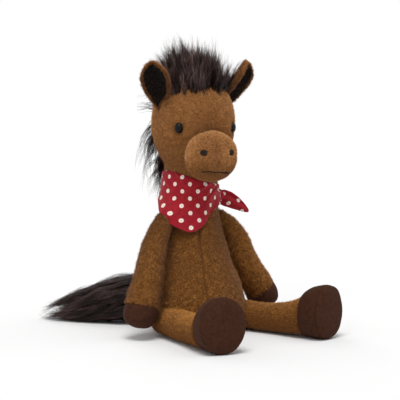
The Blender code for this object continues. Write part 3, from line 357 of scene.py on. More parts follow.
def dotted_material():
    """Red cotton with cream spots in staggered rows, and a fine plain weave."""
    material, tree = new_material("red_spotted_cotton", 0.85, 0.2, 0.15)
    place = node(tree, "UVMap", uv_map="cloth").outputs["UV"]
    cloth = node(tree, "SeparateXYZ", {"Vector": place}).outputs
    nearest = 2 * DOT_SPACING
    for shift in (0.0, 0.5):
        squares = []
        for axis, step in (("X", DOT_SPACING), ("Y", DOT_ROW)):
            turns = math_node(tree, "DIVIDE", cloth[axis], step)
            wrapped = math_node(tree, "FRACT", math_node(tree, "ADD", turns, shift + 0.5))
            gap = math_node(tree, "MULTIPLY", math_node(tree, "SUBTRACT", wrapped, 0.5), step)
            squares.append(math_node(tree, "MULTIPLY", gap, gap))
        reach = math_node(tree, "SQRT", math_node(tree, "ADD", *squares))
        nearest = math_node(tree, "MINIMUM", nearest, reach)
    wobble = math_node(tree, "MULTIPLY", fabric_noise(tree, 900.0, 2.0), 0.0005)
    edge = math_node(tree, "ADD", nearest, wobble)
    dot = math_node(tree, "LESS_THAN", edge, DOT_RADIUS + 0.00025)
    heart = math_node(tree, "LESS_THAN", edge, DOT_RADIUS * 0.42)
    red = ramp(tree, fabric_noise(tree, 260.0, 4.0),
               [(0.25, tint(136, 14, 30)), (0.75, tint(174, 28, 42))])
    cream = node(tree, "Mix", {0: heart, 6: tint(246, 232, 218), 7: tint(228, 200, 190)},
                 data_type="RGBA").outputs[2]
    both = node(tree, "Mix", {0: dot, 6: red, 7: cream}, data_type="RGBA").outputs[2]
    threads = []
    for axis in ("X", "Y"):
        turns = math_node(tree, "MULTIPLY", cloth[axis], 2 * math.pi / THREAD_PITCH)
        threads.append(math_node(tree, "SINE", turns))
    paint(tree, both, math_node(tree, "MULTIPLY", *threads), 0.25, 0.0001)
    return material


def gloss_material(name, dark, light, roughness):
    material, tree = new_material(name, roughness, 0.17)
    paint(tree, ramp(tree, fabric_noise(tree, 400.0), [(0.3, tint(*dark)), (0.8, tint(*light))]))
    return material


FUR_PILE = strand_material("brown_pile", [
    (0.0, 52, 27, 6), (0.3, 124, 75, 27), (0.65, 174, 115, 51), (1.0, 216, 158, 88)])
HEAD_PILE = strand_material("head_pile", [
    (0.0, 64, 34, 12), (0.3, 142, 91, 46), (0.65, 186, 128, 73), (1.0, 222, 167, 110)])
HAIR = strand_material("long_hair", [
    (0.0, 7, 4, 3), (0.4, 26, 15, 13), (0.72, 80, 58, 53), (1.0, 152, 130, 125),
], 0.4, 0.0, 0.3, 60.0, 0.16)
LINING_PILE = strand_material("lining_pile", [
    (0.0, 12, 7, 5), (0.5, 32, 20, 15), (0.8, 58, 40, 32), (1.0, 116, 92, 80),
], 0.9, 0.05, 0.4, 150.0)
FUR_BACK = backing_material("brown_backing", (74, 43, 14), (126, 78, 32), 420.0, 0.1)
HEAD_SKIN = backing_material("head_backing", (96, 58, 26), (158, 106, 56), 420.0, 0.1)
HAIR_BACK = backing_material("hair_backing", (9, 6, 6), (24, 17, 16), 300.0, 0.0)
LINING = backing_material("ear_lining_backing", (9, 5, 4), (27, 17, 13), 300.0, 0.0)
SUEDE = backing_material("brown_suede", (51, 28, 18), (73, 43, 28), 260.0, 0.0, 0.3, 0.0003)
THREAD = backing_material("dark_thread", (22, 14, 12), (48, 34, 30), 1500.0, 0.1, 0.5, 0.0002)
FIBRE = backing_material("white_fibre", (205, 203, 198), (245, 244, 240), 300.0)
BEANS = backing_material("bean_pouch", (160, 150, 132), (206, 198, 182), 500.0)
WASHER = backing_material("lock_washer", (205, 206, 210), (226, 227, 230), 300.0, 0.0, 0.1)
COTTON = dotted_material()
EYE_GLOSS = gloss_material("black_eye", (6, 5, 5), (16, 12, 10), 0.05)


# Points and meshes

def rounded(steps, *columns):
    """Rows of values along a smooth curve that passes through the columns' values."""
    points = np.array(columns, float).T
    track = np.vstack([2 * points[0] - points[1], points, 2 * points[-1] - points[-2]])
    t = np.arange(steps)[:, None] / steps
    rows = []
    for a, b, c, d in zip(track, track[1:], track[2:], track[3:]):
        square = 2 * a - 5 * b + 4 * c - d
        cube = 3 * b - 3 * c + d - a
        rows.append(0.5 * (2 * b + (c - a) * t + square * t**2 + cube * t**3))
    return np.vstack([*rows, points[-1:]])


def unit(vectors):
    length = np.linalg.norm(vectors, axis=-1, keepdims=True)
    return vectors / np.maximum(length, 1e-9)


def distance(places, point):
    return np.linalg.norm(places - point, axis=-1)


def hump(gap, width):
    """One at no gap, and soon nothing beyond the width."""
    return np.exp(-(np.asarray(gap) / width) ** 2)


def below(places, height, depth):
    """How far places lie below a height, from 0 to 1 at the depth."""
    return np.clip((height - places[:, 2]) / depth, 0.0, 1.0)


def full_turn(segments):
    return np.linspace(0.0, 2 * np.pi, segments, endpoint=False)


def turn_gap(angle, middle):
    """The way round from a middle angle, at most half a turn."""
    return (angle - middle + np.pi) % (2 * np.pi) - np.pi


def turn_head(points, turn=HEAD_TURN):
    """Moves points made for a head that faces -Y to where the turned head is."""
    c, s = math.cos(turn), math.sin(turn)
    moved = np.array(points, float)
    x, y = moved[..., 0].copy(), moved[..., 1] - NECK_BACK
    moved[..., 0] = c * x - s * y
    moved[..., 1] = NECK_BACK + s * x + c * y
    return moved


def turn_way(way):
    """Turns a direction with the head."""
    return turn_head(way + NECK_AXIS) - NECK_AXIS


def ring_points(centre, way, half_width, half_height, segments, squareness=2.0):
    """A round of points square to way, with its height upwards."""
    way = unit(np.array(way, float))
    side = unit(np.cross(way, UP))
    rise = np.cross(side, way)
    angle = full_turn(segments)
    c, s = np.cos(angle), np.sin(angle)
    across = np.sign(c) * np.abs(c) ** (2 / squareness) * half_width
    up = np.sign(s) * np.abs(s) ** (2 / squareness) * half_height
    return np.array(centre) + across[:, None] * side + up[:, None] * rise


def level_ring(centre, radius, segments=64):
    return ring_points(centre, (0.0, 0.001, 1.0), radius, radius, segments)


def ellipsoid_rings(centre, radii, rows=24, segments=48):
    turn = full_turn(segments)
    rings = []
    for angle in np.linspace(0.03, np.pi - 0.03, rows):
        reach = math.sin(angle)
        ball = [reach * np.cos(turn), reach * np.sin(turn), np.full(segments, math.cos(angle))]
        rings.append(np.array(centre) + np.stack(ball, axis=1) * radii)
    return rings


def grid_faces(rows, columns, closed=True):
    faces = []
    for row in range(rows - 1):
        for column in range(columns if closed else columns - 1):
            here = row * columns + column
            beside = row * columns + (column + 1) % columns
            faces.append((here, beside, beside + columns, here + columns))
    return faces


def new_piece(name, verts, faces, material):
    mesh = bpy.data.meshes.new(name)
    mesh.from_pydata([tuple(v) for v in verts], [], faces)
    mesh.materials.append(material)
    mesh.shade_smooth()
    item = bpy.data.objects.new(name, mesh)
    bpy.context.scene.collection.objects.link(item)
    return item


def shell_of(name, rings, material):
    """A closed form through rings, with a point at each end."""
    rings = np.array(rings)
    rows, columns = rings.shape[:2]
    verts = list(rings.reshape(-1, 3))
    faces = grid_faces(rows, columns)
    for row in (0, rows - 1):
        pole = len(verts)
        verts.append(rings[row].mean(axis=0))
        for column in range(columns):
            here = row * columns + column
            beside = row * columns + (column + 1) % columns
            faces.append((pole, beside, here) if row == 0 else (pole, here, beside))
    item = new_piece(name, verts, faces, material)
    outward(item)
    return item


def join(name, items):
    """Several meshes as one piece."""
    verts, faces = [], []
    for item in items:
        start = len(verts)
        verts.extend(v.co[:] for v in item.data.vertices)
        faces.extend(tuple(start + i for i in p.vertices) for p in item.data.polygons)
        material = item.data.materials[0]
        bpy.data.objects.remove(item, do_unlink=True)
    return new_piece(name, verts, faces, material)


def triangles(item):
    """The mesh's triangles, as rows of the numbers of their points."""
    item.data.calc_loop_triangles()
    tris = np.empty(len(item.data.loop_triangles) * 3, int)
    item.data.loop_triangles.foreach_get("vertices", tris)
    return tris.reshape(-1, 3)


def outward(item):
    """Turns the faces outwards if the closed form is inside out."""
    points, tris = points_of(item), triangles(item)
    a, b, c = points[tris[:, 0]], points[tris[:, 1]], points[tris[:, 2]]
    if (a * np.cross(b, c)).sum() < 0:
        item.data.flip_normals()


def bake(item):
    """Applies the item's modifiers to its mesh."""
    graph = bpy.context.evaluated_depsgraph_get()
    mesh = bpy.data.meshes.new_from_object(item.evaluated_get(graph), depsgraph=graph)
    item.modifiers.clear()
    item.data = mesh


def thicken(item, thickness, offset):
    """Gives a sheet its thickness, inwards, on both sides or outwards by the offset."""
    plate = item.modifiers.new("Fabric", "SOLIDIFY")
    plate.thickness = thickness
    plate.offset = offset
    bake(item)
    outward(item)


def points_of(item, kind="co"):
    """The points of a piece's mesh, or the way out at each."""
    values = np.empty(len(item.data.vertices) * 3)
    item.data.vertices.foreach_get(kind, values)
    return values.reshape(-1, 3)


def set_points(item, points):
    item.data.vertices.foreach_set("co", np.ascontiguousarray(points).reshape(-1))
    item.data.update()


def push(item, depth):
    """Moves every point out along the surface by its depth."""
    set_points(item, points_of(item) + points_of(item, "normal") * np.asarray(depth)[:, None])


def crumple(item, form, side=0):
    """Soft dents and swells over the surface, as stuffing makes."""
    size, scale, start = DENTS[form]
    offset = Vector((start + side, 0.0, 0.0))
    push(item, [size * noise.noise(Vector(point) * scale + offset) for point in points_of(item)])


def flatten(item, height=0.0001):
    """Rests the form on the floor."""
    points = points_of(item)
    points[:, 2] = np.maximum(points[:, 2], height)
    set_points(item, points)


def finish_piece(item, body, slot, *replaces, fill=None):
    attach(item, body)
    if replaces:
        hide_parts(*replaces)


def stuff(name, body, rings):
    """The stuffing inside a form, a little smaller than the plush round it."""
    inner = []
    for ring in rings:
        middle = ring.mean(axis=0)
        radius = distance(ring, middle).mean()
        inner.append(middle + (ring - middle) * max(1.0 - STUFFING_GAP / radius, 0.2))
    core = shell_of(f"{name}_fibre", inner, FIBRE)
    crumple(core, "stuffing")
    finish_piece(core, body, "stuffing", f"{name}_stuffing")


# Pile and hair

def sow(item, count, rng):
    """Points spread evenly over a piece's surface, with the way out at each."""
    points, normals, tris = points_of(item), points_of(item, "normal"), triangles(item)
    a, b, c = points[tris[:, 0]], points[tris[:, 1]], points[tris[:, 2]]
    area = np.linalg.norm(np.cross(b - a, c - a), axis=1)
    chosen = tris[rng.choice(len(tris), count, p=area / area.sum())]
    u, v = rng.random(count), rng.random(count)
    flip = u + v > 1
    u[flip], v[flip] = 1 - u[flip], 1 - v[flip]
    weights = np.stack([1 - u - v, u, v], axis=1)[:, :, None]
    return (points[chosen] * weights).sum(axis=1), unit((normals[chosen] * weights).sum(axis=1))


def noise_at(places, scale):
    return np.array([noise.noise(Vector(place) * scale) for place in places])


def strands(name, verts, faces, along, tones, material):
    """A piece of blades or ribbons, with each point's share of the length and its tone."""
    item = new_piece(name, verts.reshape(-1, 3).tolist(), faces.tolist(), material)
    for key, values in (("tip", along), ("tone", tones)):
        layer = item.data.attributes.new(key, "FLOAT", "POINT")
        layer.data.foreach_set("value", np.ascontiguousarray(values, np.float32))
    return item


def pile(ground, form, body, comb, material, seed, keep=None, shade=None, slot="fur"):
    """Short plush pile all over a piece, combed one way and clumped into tufts."""
    count, length, width, stand, lay = PILES[form]
    rng = np.random.default_rng(seed)
    places, out = sow(ground, count, rng)
    if keep is not None:
        chosen = keep(places, out)
        places, out = places[chosen], out[chosen]
    flow = np.broadcast_to(comb(places) if callable(comb) else comb, places.shape)
    flow = flow - out * np.einsum("ij,ij->i", flow, out)[:, None]
    offset = Vector((seed, seed, 0.0))
    tufts = [noise.noise_vector(Vector(place) * PILE_CLUMPS + offset) for place in places]
    loose = rng.normal(size=places.shape) * 0.22
    way = unit(out * stand + unit(flow) * lay + np.array(tufts) * 0.4 + loose)
    swell = noise_at(places, PILE_SWELL)
    specks = noise_at(places, PILE_SPECKS)
    reach = (length * rng.uniform(0.65, 1.1, len(places)) * (1.0 + 0.35 * swell))[:, None]
    base = places - out * PILE_ROOT
    tip = places + way * reach
    # Painted light and shade: the pile is lighter where it faces up and darker where it faces down, and
    # its mottling from the swell and the dark specks is partly random tone and partly painted shade
    # between tufts
    tones = (0.52 + 0.36 * swell - 1.25 * np.maximum(specks - 0.1, 0.0)
             + rng.normal(size=len(places)) * 0.19 + 0.28 * out[:, 2])
    if shade is not None:
        tones = tones + shade(places)
    side = unit(np.cross(out, tip - base)) * (width / 2)
    verts = np.stack([base + side, base - side, tip], axis=1)
    faces = np.arange(len(places) * 3).reshape(-1, 3)
    along = np.tile((0.0, 0.0, 1.0), len(places))
    tones = np.repeat(np.clip(tones, 0.0, 1.0), 3)
    item = strands(ground.name.replace("plush", "pile"), verts, faces, along, tones, material)
    flatten(item, 0.00005)
    finish_piece(item, body, slot)


def ribbons(name, paths, out, width, tones):
    """Thin tapered ribbons along paths of points, for long hair."""
    count, steps = paths.shape[:2]
    share = np.linspace(0.0, 1.0, steps)
    taper = (width / 2) * (1.0 - share**2.2 * 0.92)
    side = unit(np.cross(out, np.gradient(paths, axis=1))) * taper[None, :, None]
    start = (np.arange(count) * steps * 2)[:, None] + (np.arange(steps - 1) * 2)[None, :]
    faces = np.stack([start, start + 1, start + 3, start + 2], axis=2).reshape(-1, 4)
    return strands(name, np.stack([paths + side, paths - side], axis=2), faces,
                   np.tile(np.repeat(share, 2), count), np.repeat(tones, steps * 2), HAIR)


def rounded_guides(guides):
    """Evens out the points of each guide."""
    for _ in range(2):
        guides[:, 1:-1] = 0.5 * guides[:, 1:-1] + 0.25 * (guides[:, :-2] + guides[:, 2:])
    return guides


def lock_paths(guides, per_lock, root_spread, tip_spread, shortest, rng):
    """Strands that follow each guide, spread at the root and drawn together at the tip."""
    locks, steps = guides.shape[:2]
    count = locks * per_lock
    even = np.linspace(0.0, 1.0, steps)[None, :]
    share = even[..., None]
    reach = rng.uniform(shortest, 1.04, count)
    index = np.clip(even * reach[:, None], 0, 1) * (steps - 1)
    low = np.minimum(index.astype(int), steps - 2)
    part = (index - low)[..., None]
    lock = np.repeat(np.arange(locks), per_lock)[:, None]
    paths = guides[lock, low] * (1 - part) + guides[lock, low + 1] * part
    root = rng.normal(size=(count, 1, 3)) * root_spread
    tip = rng.normal(size=(count, 1, 3)) * tip_spread
    phase = rng.uniform(0, 2 * np.pi, (count, 1, 3))
    turns = rng.uniform(1.5, 4.0, (count, 1, 1))
    sway = np.sin(share * turns * np.pi + phase) * share * LOCK_WAVE
    return paths + root * (1 - share) + tip * share + sway


def loose_ways(ways, size, rng):
    """The way out for each strand, turned a little its own way."""
    return unit(ways + rng.normal(size=(len(ways), 1, 3)) * size)


def hair_tones(locks, per_lock, light_and_sheen_share, rng):
    lock_tone = np.repeat(rng.uniform(0.1, 0.7, locks), per_lock)
    tones = lock_tone + rng.normal(size=locks * per_lock) * 0.13
    # A share of strands is made lighter at random, partly as the hair's own lighter strands and partly
    # as painted sheen
    light = rng.random(locks * per_lock) < light_and_sheen_share
    tones[light] += 0.48
    return np.clip(tones, 0.0, 1.0)


# Torso and neck

def torso_girth(height):
    """The torso's half-width at a height, and the neck's above it."""
    table = rounded(6, TORSO_HEIGHT_SHARES[1:], TORSO_RADIUS_SHARES[1:])
    girth = np.interp(np.asarray(height) / TORSO_HEIGHT, *table.T) * TORSO_RADIUS
    return np.where(np.asarray(height) >= TORSO_HEIGHT, NECK_RADIUS, girth)


def axis_back(height):
    return NECK_BACK * np.minimum(np.asarray(height) / TORSO_HEIGHT, 1.0)


def around(angle, reach, height, depth_share=1.0):
    """Points at angles round the leaning axis of the torso."""
    y = -reach * np.cos(angle) * depth_share + axis_back(height)
    return np.stack([reach * np.sin(angle), y, np.broadcast_to(height, angle.shape)], axis=1)


def make_torso():
    shares = np.clip(rounded(9, TORSO_RADIUS_SHARES, TORSO_HEIGHT_SHARES), 0.0, 1.02)
    angle = full_turn(120)
    rings = []
    for radius_share, height_share in shares[1:]:
        radius = radius_share * TORSO_RADIUS
        height = height_share * TORSO_HEIGHT
        seam = SEAM_DEPTH * hump(turn_gap(angle, SEAM_ANGLE) * radius, SEAM_HALF_WIDTH)
        belly = BELLY_SIZE * hump(height - 0.045, 0.022) * np.cos(angle)
        rings.append(around(angle, radius - seam + belly, height, TORSO_DEPTH_SHARE))
    torso = shell_of("torso_plush", rings, FUR_BACK)
    crumple(torso, "torso")
    flatten(torso)
    finish_piece(torso, "torso", "fur", "torso_skin", fill=0.75)

    def seen(places, out):
        return (out[:, 2] > -0.8) & (places[:, 2] < TORSO_HEIGHT - 0.002)

    # Painted shade along the seam line, and painted light that makes the lower torso lighter
    def seam_shade_and_belly_light(places):
        turn = np.arctan2(places[:, 0], axis_back(places[:, 2]) - places[:, 1])
        off = (turn - SEAM_ANGLE) * np.hypot(places[:, 0], places[:, 1])
        return 0.16 * below(places, 0.07, 0.05) - 0.9 * hump(off, 0.001)

    pile(torso, "torso", "torso", (0.0, -0.05, -1.0), FUR_PILE, 11, keep=seen, shade=seam_shade_and_belly_light)


def make_neck():
    heights = np.linspace(TORSO_HEIGHT - 0.008, NECK_TOP, 14)
    rings = [level_ring((0.0, NECK_BACK, height), NECK_RADIUS) for height in heights]
    neck = shell_of("neck_plush", rings, HEAD_SKIN)
    crumple(neck, "neck")
    finish_piece(neck, "neck", "fur", "neck_skin", fill=0.8)
    pile(neck, "neck", "neck", (0.0, 0.0, -1.0), HEAD_PILE, 12)


# Head

def head_girth(height):
    table = rounded(6, HEAD_HEIGHT_SHARES, HEAD_RADIUS_SHARES)
    table = table[np.argsort(table[:, 0])]
    share = (np.asarray(height) - HEAD_BOTTOM) / HEAD_LENGTH
    return np.interp(share, *table.T, 0.0, 0.0) * HEAD_RADIUS


def head_eye_place(side):
    way = np.array((side * math.sin(EYE_ANGLE), -math.cos(EYE_ANGLE), 0.0))
    radius = float(head_girth(EYE_HEIGHT)) + 0.0004
    return np.array((0.0, HEAD_BACK, EYE_HEIGHT)) + way * radius, way


def clear_of(places, points, gap):
    """Which places are farther than the gap from every point."""
    clear = np.ones(len(places), bool)
    for point in points:
        clear &= distance(places, point) > gap
    return clear


def make_head():
    egg = []
    for radius_share, height_share in rounded(6, HEAD_RADIUS_SHARES, HEAD_HEIGHT_SHARES)[2:-2]:
        height = HEAD_BOTTOM + height_share * HEAD_LENGTH
        egg.append(level_ring((0.0, HEAD_BACK, height), radius_share * HEAD_RADIUS))
    snout = ellipsoid_rings(SNOUT_PLACE, SNOUT_RADII)
    cheeks = ellipsoid_rings(CHEEK_PLACE, CHEEK_RADII)
    head = join("head_plush", [shell_of("part", rings, HEAD_SKIN) for rings in (egg, snout, cheeks)])
    remesh = head.modifiers.new("Even", "REMESH")
    remesh.mode = "VOXEL"
    remesh.voxel_size = HEAD_VOXEL
    relax = head.modifiers.new("Relax", "SMOOTH")
    relax.factor = 0.6
    relax.iterations = HEAD_SMOOTHING
    bake(head)
    crumple(head, "head")
    points = points_of(head)
    push(head, -BROW_SEAM_DEPTH * hump(points[:, 0], 0.0022) * (points[:, 2] > BROW_SEAM_FOOT))
    eyes = [head_eye_place(side)[0] for side in SIDES.values()]
    for eye in eyes:
        push(head, -SOCKET_DEPTH * hump(distance(points_of(head), eye), SOCKET_RADIUS))
    set_points(head, turn_head(points_of(head)))
    head.data.materials.clear()
    head.data.materials.append(HEAD_SKIN)
    head.data.shade_smooth()
    finish_piece(head, "head", "fur", "head_skin", fill=0.9)
    eyes = turn_head(eyes)
    muzzle_middle = turn_head((0.0, MUZZLE_SEAM - 0.012, MUZZLE_HEIGHT))
    muzzle_seam = turn_head((0.0, MUZZLE_SEAM, MUZZLE_HEIGHT))
    face = turn_head((0.0, -0.045, 0.205))

    def bare(places, out):
        muzzle = np.linalg.norm((places - muzzle_middle) / (1, 0.7, 1), axis=1)
        return clear_of(places, eyes, EYE_RADIUS * 0.88) & (muzzle > 0.0225)

    # Painted shade: darker in the crease round the muzzle, in a rim round each eye and lower down on the
    # head
    def painted_head_shade(places):
        gap = distance(places, muzzle_seam) - MUZZLE_HALF_WIDTH
        eye_gap = np.minimum(distance(places, eyes[0]), distance(places, eyes[1])) - EYE_RADIUS
        return (-1.0 * hump(gap, 0.0038) - 0.35 * hump(gap, 0.0095)
                - 0.45 * hump(eye_gap, 0.0012) - 0.5 * below(places, 0.213, 0.028))

    def flow(places):
        return unit(places - face) + (0.0, 0.0, -0.6)

    pile(head, "head", "head", flow, HEAD_PILE, 21, keep=bare, shade=painted_head_shade)


def mouth_height(share):
    """The mouth's height across the muzzle, from -1 to 1; one end sits a little lower."""
    return MOUTH_HEIGHT - MOUTH_DROOP * share**2 - MOUTH_TILT * share


def make_muzzle():
    rings = []
    for radius_share, length_share in rounded(6, MUZZLE_RADIUS_SHARES, MUZZLE_LENGTH_SHARES)[:-1]:
        radius_share = max(radius_share, 0.02)
        centre = (0.0, MUZZLE_SEAM - length_share * MUZZLE_LENGTH, MUZZLE_HEIGHT)
        rings.append(ring_points(centre, (0.0, -1.0, 0.0), MUZZLE_HALF_WIDTH * radius_share,
                                 MUZZLE_HALF_HEIGHT * radius_share, 84, MUZZLE_SQUARENESS))
    muzzle = shell_of("muzzle_plush", rings, HEAD_SKIN)
    stuff("muzzle", "head", turn_head(rings[12:28]))
    crumple(muzzle, "muzzle")
    points = points_of(muzzle)
    x, y, z = points.T
    x_face = x - FACE_SHIFT
    dent = 0.0024 * hump(x_face, 0.0022) * hump(z - LIP_HEIGHT, 0.006)
    for side in SIDES.values():
        gap = np.hypot(x_face - side * NOSTRIL_SPACING / 2, z - NOSTRIL_HEIGHT)
        dent += 0.0013 * hump(gap, 0.0042)
    line = mouth_height(x_face / MOUTH_HALF_WIDTH)
    dent += 0.0022 * hump(z - line, 0.0018) * np.exp(-(x / 0.0175) ** 4)
    points[:, 1] += dent * (y < MUZZLE_SEAM - 0.008)
    set_points(muzzle, points)
    return muzzle


def thread_path(points, radius):
    """A round thread laid along points."""
    points = rounded(4, *np.transpose(points))
    run = np.gradient(points, axis=0)
    rings = [ring_points(p, w, radius, radius, 8) for p, w in zip(points, run)]
    return shell_of("stitch", rings, THREAD)


def dress_muzzle(muzzle):
    """Stitches the nostrils and the mouth on the muzzle, turns all and grows its pile."""
    mesh = muzzle.data
    tree = BVHTree.FromPolygons([v.co for v in mesh.vertices], [p.vertices for p in mesh.polygons])

    def on_face(across, height, lift):
        """A place above the muzzle's front, across and up from the middle of the face."""
        start = Vector((FACE_SHIFT + across, -0.2, height))
        place, out, _, _ = tree.ray_cast(start, Vector((0, 1, 0)))
        return np.array(place) + np.array(out) * lift

    nostrils = {}
    for side_name, side in SIDES.items():
        stitches = []
        for step in np.arange(-4, 5) / 4.6:
            across = side * NOSTRIL_SPACING / 2 + step * NOSTRIL_RADIUS
            tall = NOSTRIL_RADIUS * math.sqrt(1 - step**2)
            row = [on_face(across, NOSTRIL_HEIGHT + share * tall, 0.0008 * (1 - share**2) + 0.0002)
                   for share in (-1.0, -0.6, 0.0, 0.6, 1.0)]
            stitches.append(thread_path(row, NOSTRIL_THREAD))
        nostrils[side_name] = join(f"nostril_{side_name}_thread", stitches)
    stitches = []
    for step in range(MOUTH_STITCHES):
        row = []
        for part, lift in ((-0.08, 0.0002), (0.5, 0.001), (1.08, 0.0002)):
            share = 2 * (step + part) / MOUTH_STITCHES - 1
            height = mouth_height(share) + 0.0004 * math.sin(9.0 * share)
            row.append(on_face(share * MOUTH_HALF_WIDTH, height, lift))
        stitches.append(thread_path(row, MOUTH_THREAD))
    mouth = join("mouth_thread", stitches)
    for item in (muzzle, mouth, *nostrils.values()):
        set_points(item, turn_head(points_of(item)))
    finish_piece(muzzle, "head", "fur", "muzzle_skin", fill=0.9)
    finish_piece(mouth, "head", "thread", "mouth_stitch")
    for side_name, item in nostrils.items():
        finish_piece(item, "head", "thread", f"nostril_{side_name}")
    marks = [points_of(item).mean(axis=0) for item in nostrils.values()]
    line = points_of(mouth)[::8]
    front = turn_head((0.0, MUZZLE_SEAM - MUZZLE_LENGTH, MUZZLE_HEIGHT + 0.006))
    seam_middle = turn_head((0.0, MUZZLE_SEAM - 0.002, MUZZLE_HEIGHT))

    def bare(places, out):
        return clear_of(places, marks, NOSTRIL_RADIUS + 0.0002) & clear_of(places, line, 0.0011)

    def flow(places):
        return unit(places - front) + (0.0, 0.25, -0.3)

    # Painted highlight: lighter on the raised roll at the muzzle's seam; painted shade: darker on the
    # chin below the muzzle's middle
    def roll_highlight_and_chin_shade(places):
        gap = distance(places, seam_middle) - MUZZLE_HALF_WIDTH
        return 0.48 * hump(gap, 0.0026) - 0.75 * below(places, MUZZLE_HEIGHT, 0.018)

    pile(muzzle, "muzzle", "head", flow, HEAD_PILE, 22, keep=bare, shade=roll_highlight_and_chin_shade)


def make_eye(side_name, side):
    place, way = head_eye_place(side)
    place, way = turn_head(place), turn_way(way)
    rings = []
    for reach, rise in rounded(5, EYE_REACH_SHARES, EYE_RISE_SHARES):
        centre = place + way * (rise * EYE_RADIUS - EYE_SINK)
        reach = reach * EYE_RADIUS
        rings.append(ring_points(centre, way, reach * EYE_WIDTH_SHARE, reach, 40))
    eye = shell_of(f"eye_{side_name}_dome", rings, EYE_GLOSS)
    finish_piece(eye, "head", "eye", f"eye_{side_name}")


def ear_sheet(name, side, stand, shares, lift, material, thickness, offset):
    """An ear or its lining: a cupped leaf, by its shares of the ear's width and length."""
    rows, columns = 26, 17
    width_share, length_share, start = shares
    widths = rounded(8, EAR_WIDTH_SHARES)[:, 0]
    across = np.linspace(-1.0, 1.0, columns)
    grid = []
    for up in np.linspace(0.0, 1.0, rows):
        along = start + up * length_share
        share = np.interp(along, np.linspace(0, 1, len(widths)), widths)
        bow = EAR_CUP * share * (across * width_share) ** 2
        slant = side * across * EAR_SLANT * (1.0 - up) ** 1.5
        round_off = 0.0022 * across**2 * up**8
        grid.extend(np.stack([across * (EAR_HALF_WIDTH * share * width_share),
                              -bow - lift - EAR_CURL * along**2,
                              along * EAR_LENGTH - slant - round_off], axis=1))
    verts = turn_head([stand @ Vector(point) for point in grid])
    item = new_piece(f"{name}_plush", verts, grid_faces(rows, columns, closed=False), material)
    thicken(item, thickness, offset)
    return item


def make_ear(side_name, side):
    stand = (Matrix.Translation((side * EAR_OUT[side], EAR_BACK, EAR_FOOT[side]))
             @ Matrix.Rotation(EAR_NOD, 4, "X") @ Matrix.Rotation(side * EAR_LEAN, 4, "Y")
             @ Matrix.Rotation(side * EAR_OPEN_ANGLE, 4, "Z"))
    back = stand.inverted()
    opening = turn_way(np.array(stand.to_3x3() @ Vector((0.0, -1.0, 0.0))))
    rise = np.array(stand.to_3x3() @ Vector((0.0, 0.0, 1.0)))

    def outside(places, out):
        """Which places the lining doesn't cover."""
        local = np.array([back @ Vector(place) for place in turn_head(places, -HEAD_TURN)])
        up = local[:, 2] / EAR_LENGTH
        widths = np.interp(up, np.linspace(0, 1, len(EAR_WIDTH_SHARES)), EAR_WIDTH_SHARES)
        width_share, length_share, start = LINING_SHARES
        lined = np.abs(local[:, 0]) < widths * EAR_HALF_WIDTH * width_share
        lined &= (up > start) & (up < length_share + start)
        return (out @ opening < 0.45) | ~lined

    def inside(places, out):
        return out @ opening > 0.0

    name = f"ear_{side_name}"
    ear = ear_sheet(name, side, stand, (1.0, 1.0, 0.0), 0.0, FUR_BACK, EAR_THICKNESS, -1.0)
    crumple(ear, "ear")
    finish_piece(ear, "head", "fur", name)
    pile(ear, "ear", "head", rise * 0.9, HEAD_PILE, 40 + side, keep=outside)
    name = f"ear_lining_{side_name}"
    lining = ear_sheet(name, side, stand, LINING_SHARES, LINING_LIFT, LINING, LINING_THICKNESS, 0.0)
    finish_piece(lining, "head", "ear_lining", name)
    pile(lining, "ear_lining", "head", rise, LINING_PILE, 44 + side, keep=inside, slot="ear_lining")


# Hair

def make_forelock():
    rng = np.random.default_rng(51)
    locks, per_lock, steps, tufts = 400, 28, 8, 62
    spread = FORELOCK_SPREAD * np.sqrt(rng.random(locks))
    turn = rng.uniform(0, 2 * np.pi, locks)
    x = spread * np.cos(turn)
    y = spread * np.sin(turn) * 0.95
    girth = np.hypot(x, y) / FORELOCK_SPREAD
    z = HEAD_BOTTOM + HEAD_LENGTH - 0.003 - 0.0185 * girth**2.4
    root = np.stack([x, y + HEAD_BACK, z], axis=1)
    out = unit(root - FORELOCK_CENTRE)
    heads = rng.choice(locks, tufts, replace=False)
    nearest = heads[np.argmin(distance(root[:, None], root[heads]), axis=1)]
    tall = rng.uniform(0.032, 0.052, locks) * (1.0 - 0.14 * girth**2)
    lean = out * (0.3, 0.4, 0.5) + (-0.1, 0.03, 0.95)
    lean = unit(lean + rng.normal(size=(locks, 3)) * 0.15)
    bend = rng.normal(size=(locks, 3)) * 0.007 + (-0.001, 0.0, -0.002)
    bend = 0.5 * bend + 0.5 * bend[nearest]
    tip = root + lean * tall[:, None]
    tip = tip + (tip[nearest] - tip) * rng.uniform(0.1, 0.75, (locks, 1))
    share = np.linspace(0.0, 1.0, steps)[None, :, None]
    start = out[:, None] * 0.009 * np.sin(share * np.pi * 0.7) * (1.0 - share)
    guides = root[:, None] + (tip - root)[:, None] * share + bend[:, None] * share**2.4
    paths = lock_paths(guides + start, per_lock, 0.0018, 0.0013, 0.42, rng)
    limit = FORELOCK_TOP - 0.006 * rng.random(len(paths)) ** 2
    foot = paths[:, 0, 2]
    squeeze = np.minimum((limit - foot) / np.maximum(paths[..., 2].max(axis=1) - foot, 0.001), 1.0)
    paths[..., 2] = (foot + (paths[..., 2].T - foot) * squeeze).T
    paths = turn_head(paths)
    away = loose_ways(paths - turn_head(FORELOCK_CENTRE), 0.012, rng)
    tones = hair_tones(locks, per_lock, 0.2, rng)
    hair = ribbons("forelock_hair", paths, away, FORELOCK_STRAND, tones)
    finish_piece(hair, "head", "hair", "forelock")
    core = shell_of("forelock_core", turn_head(ellipsoid_rings(*FORELOCK_CORE)), HAIR_BACK)
    crumple(core, "forelock")
    finish_piece(core, "head", "hair")


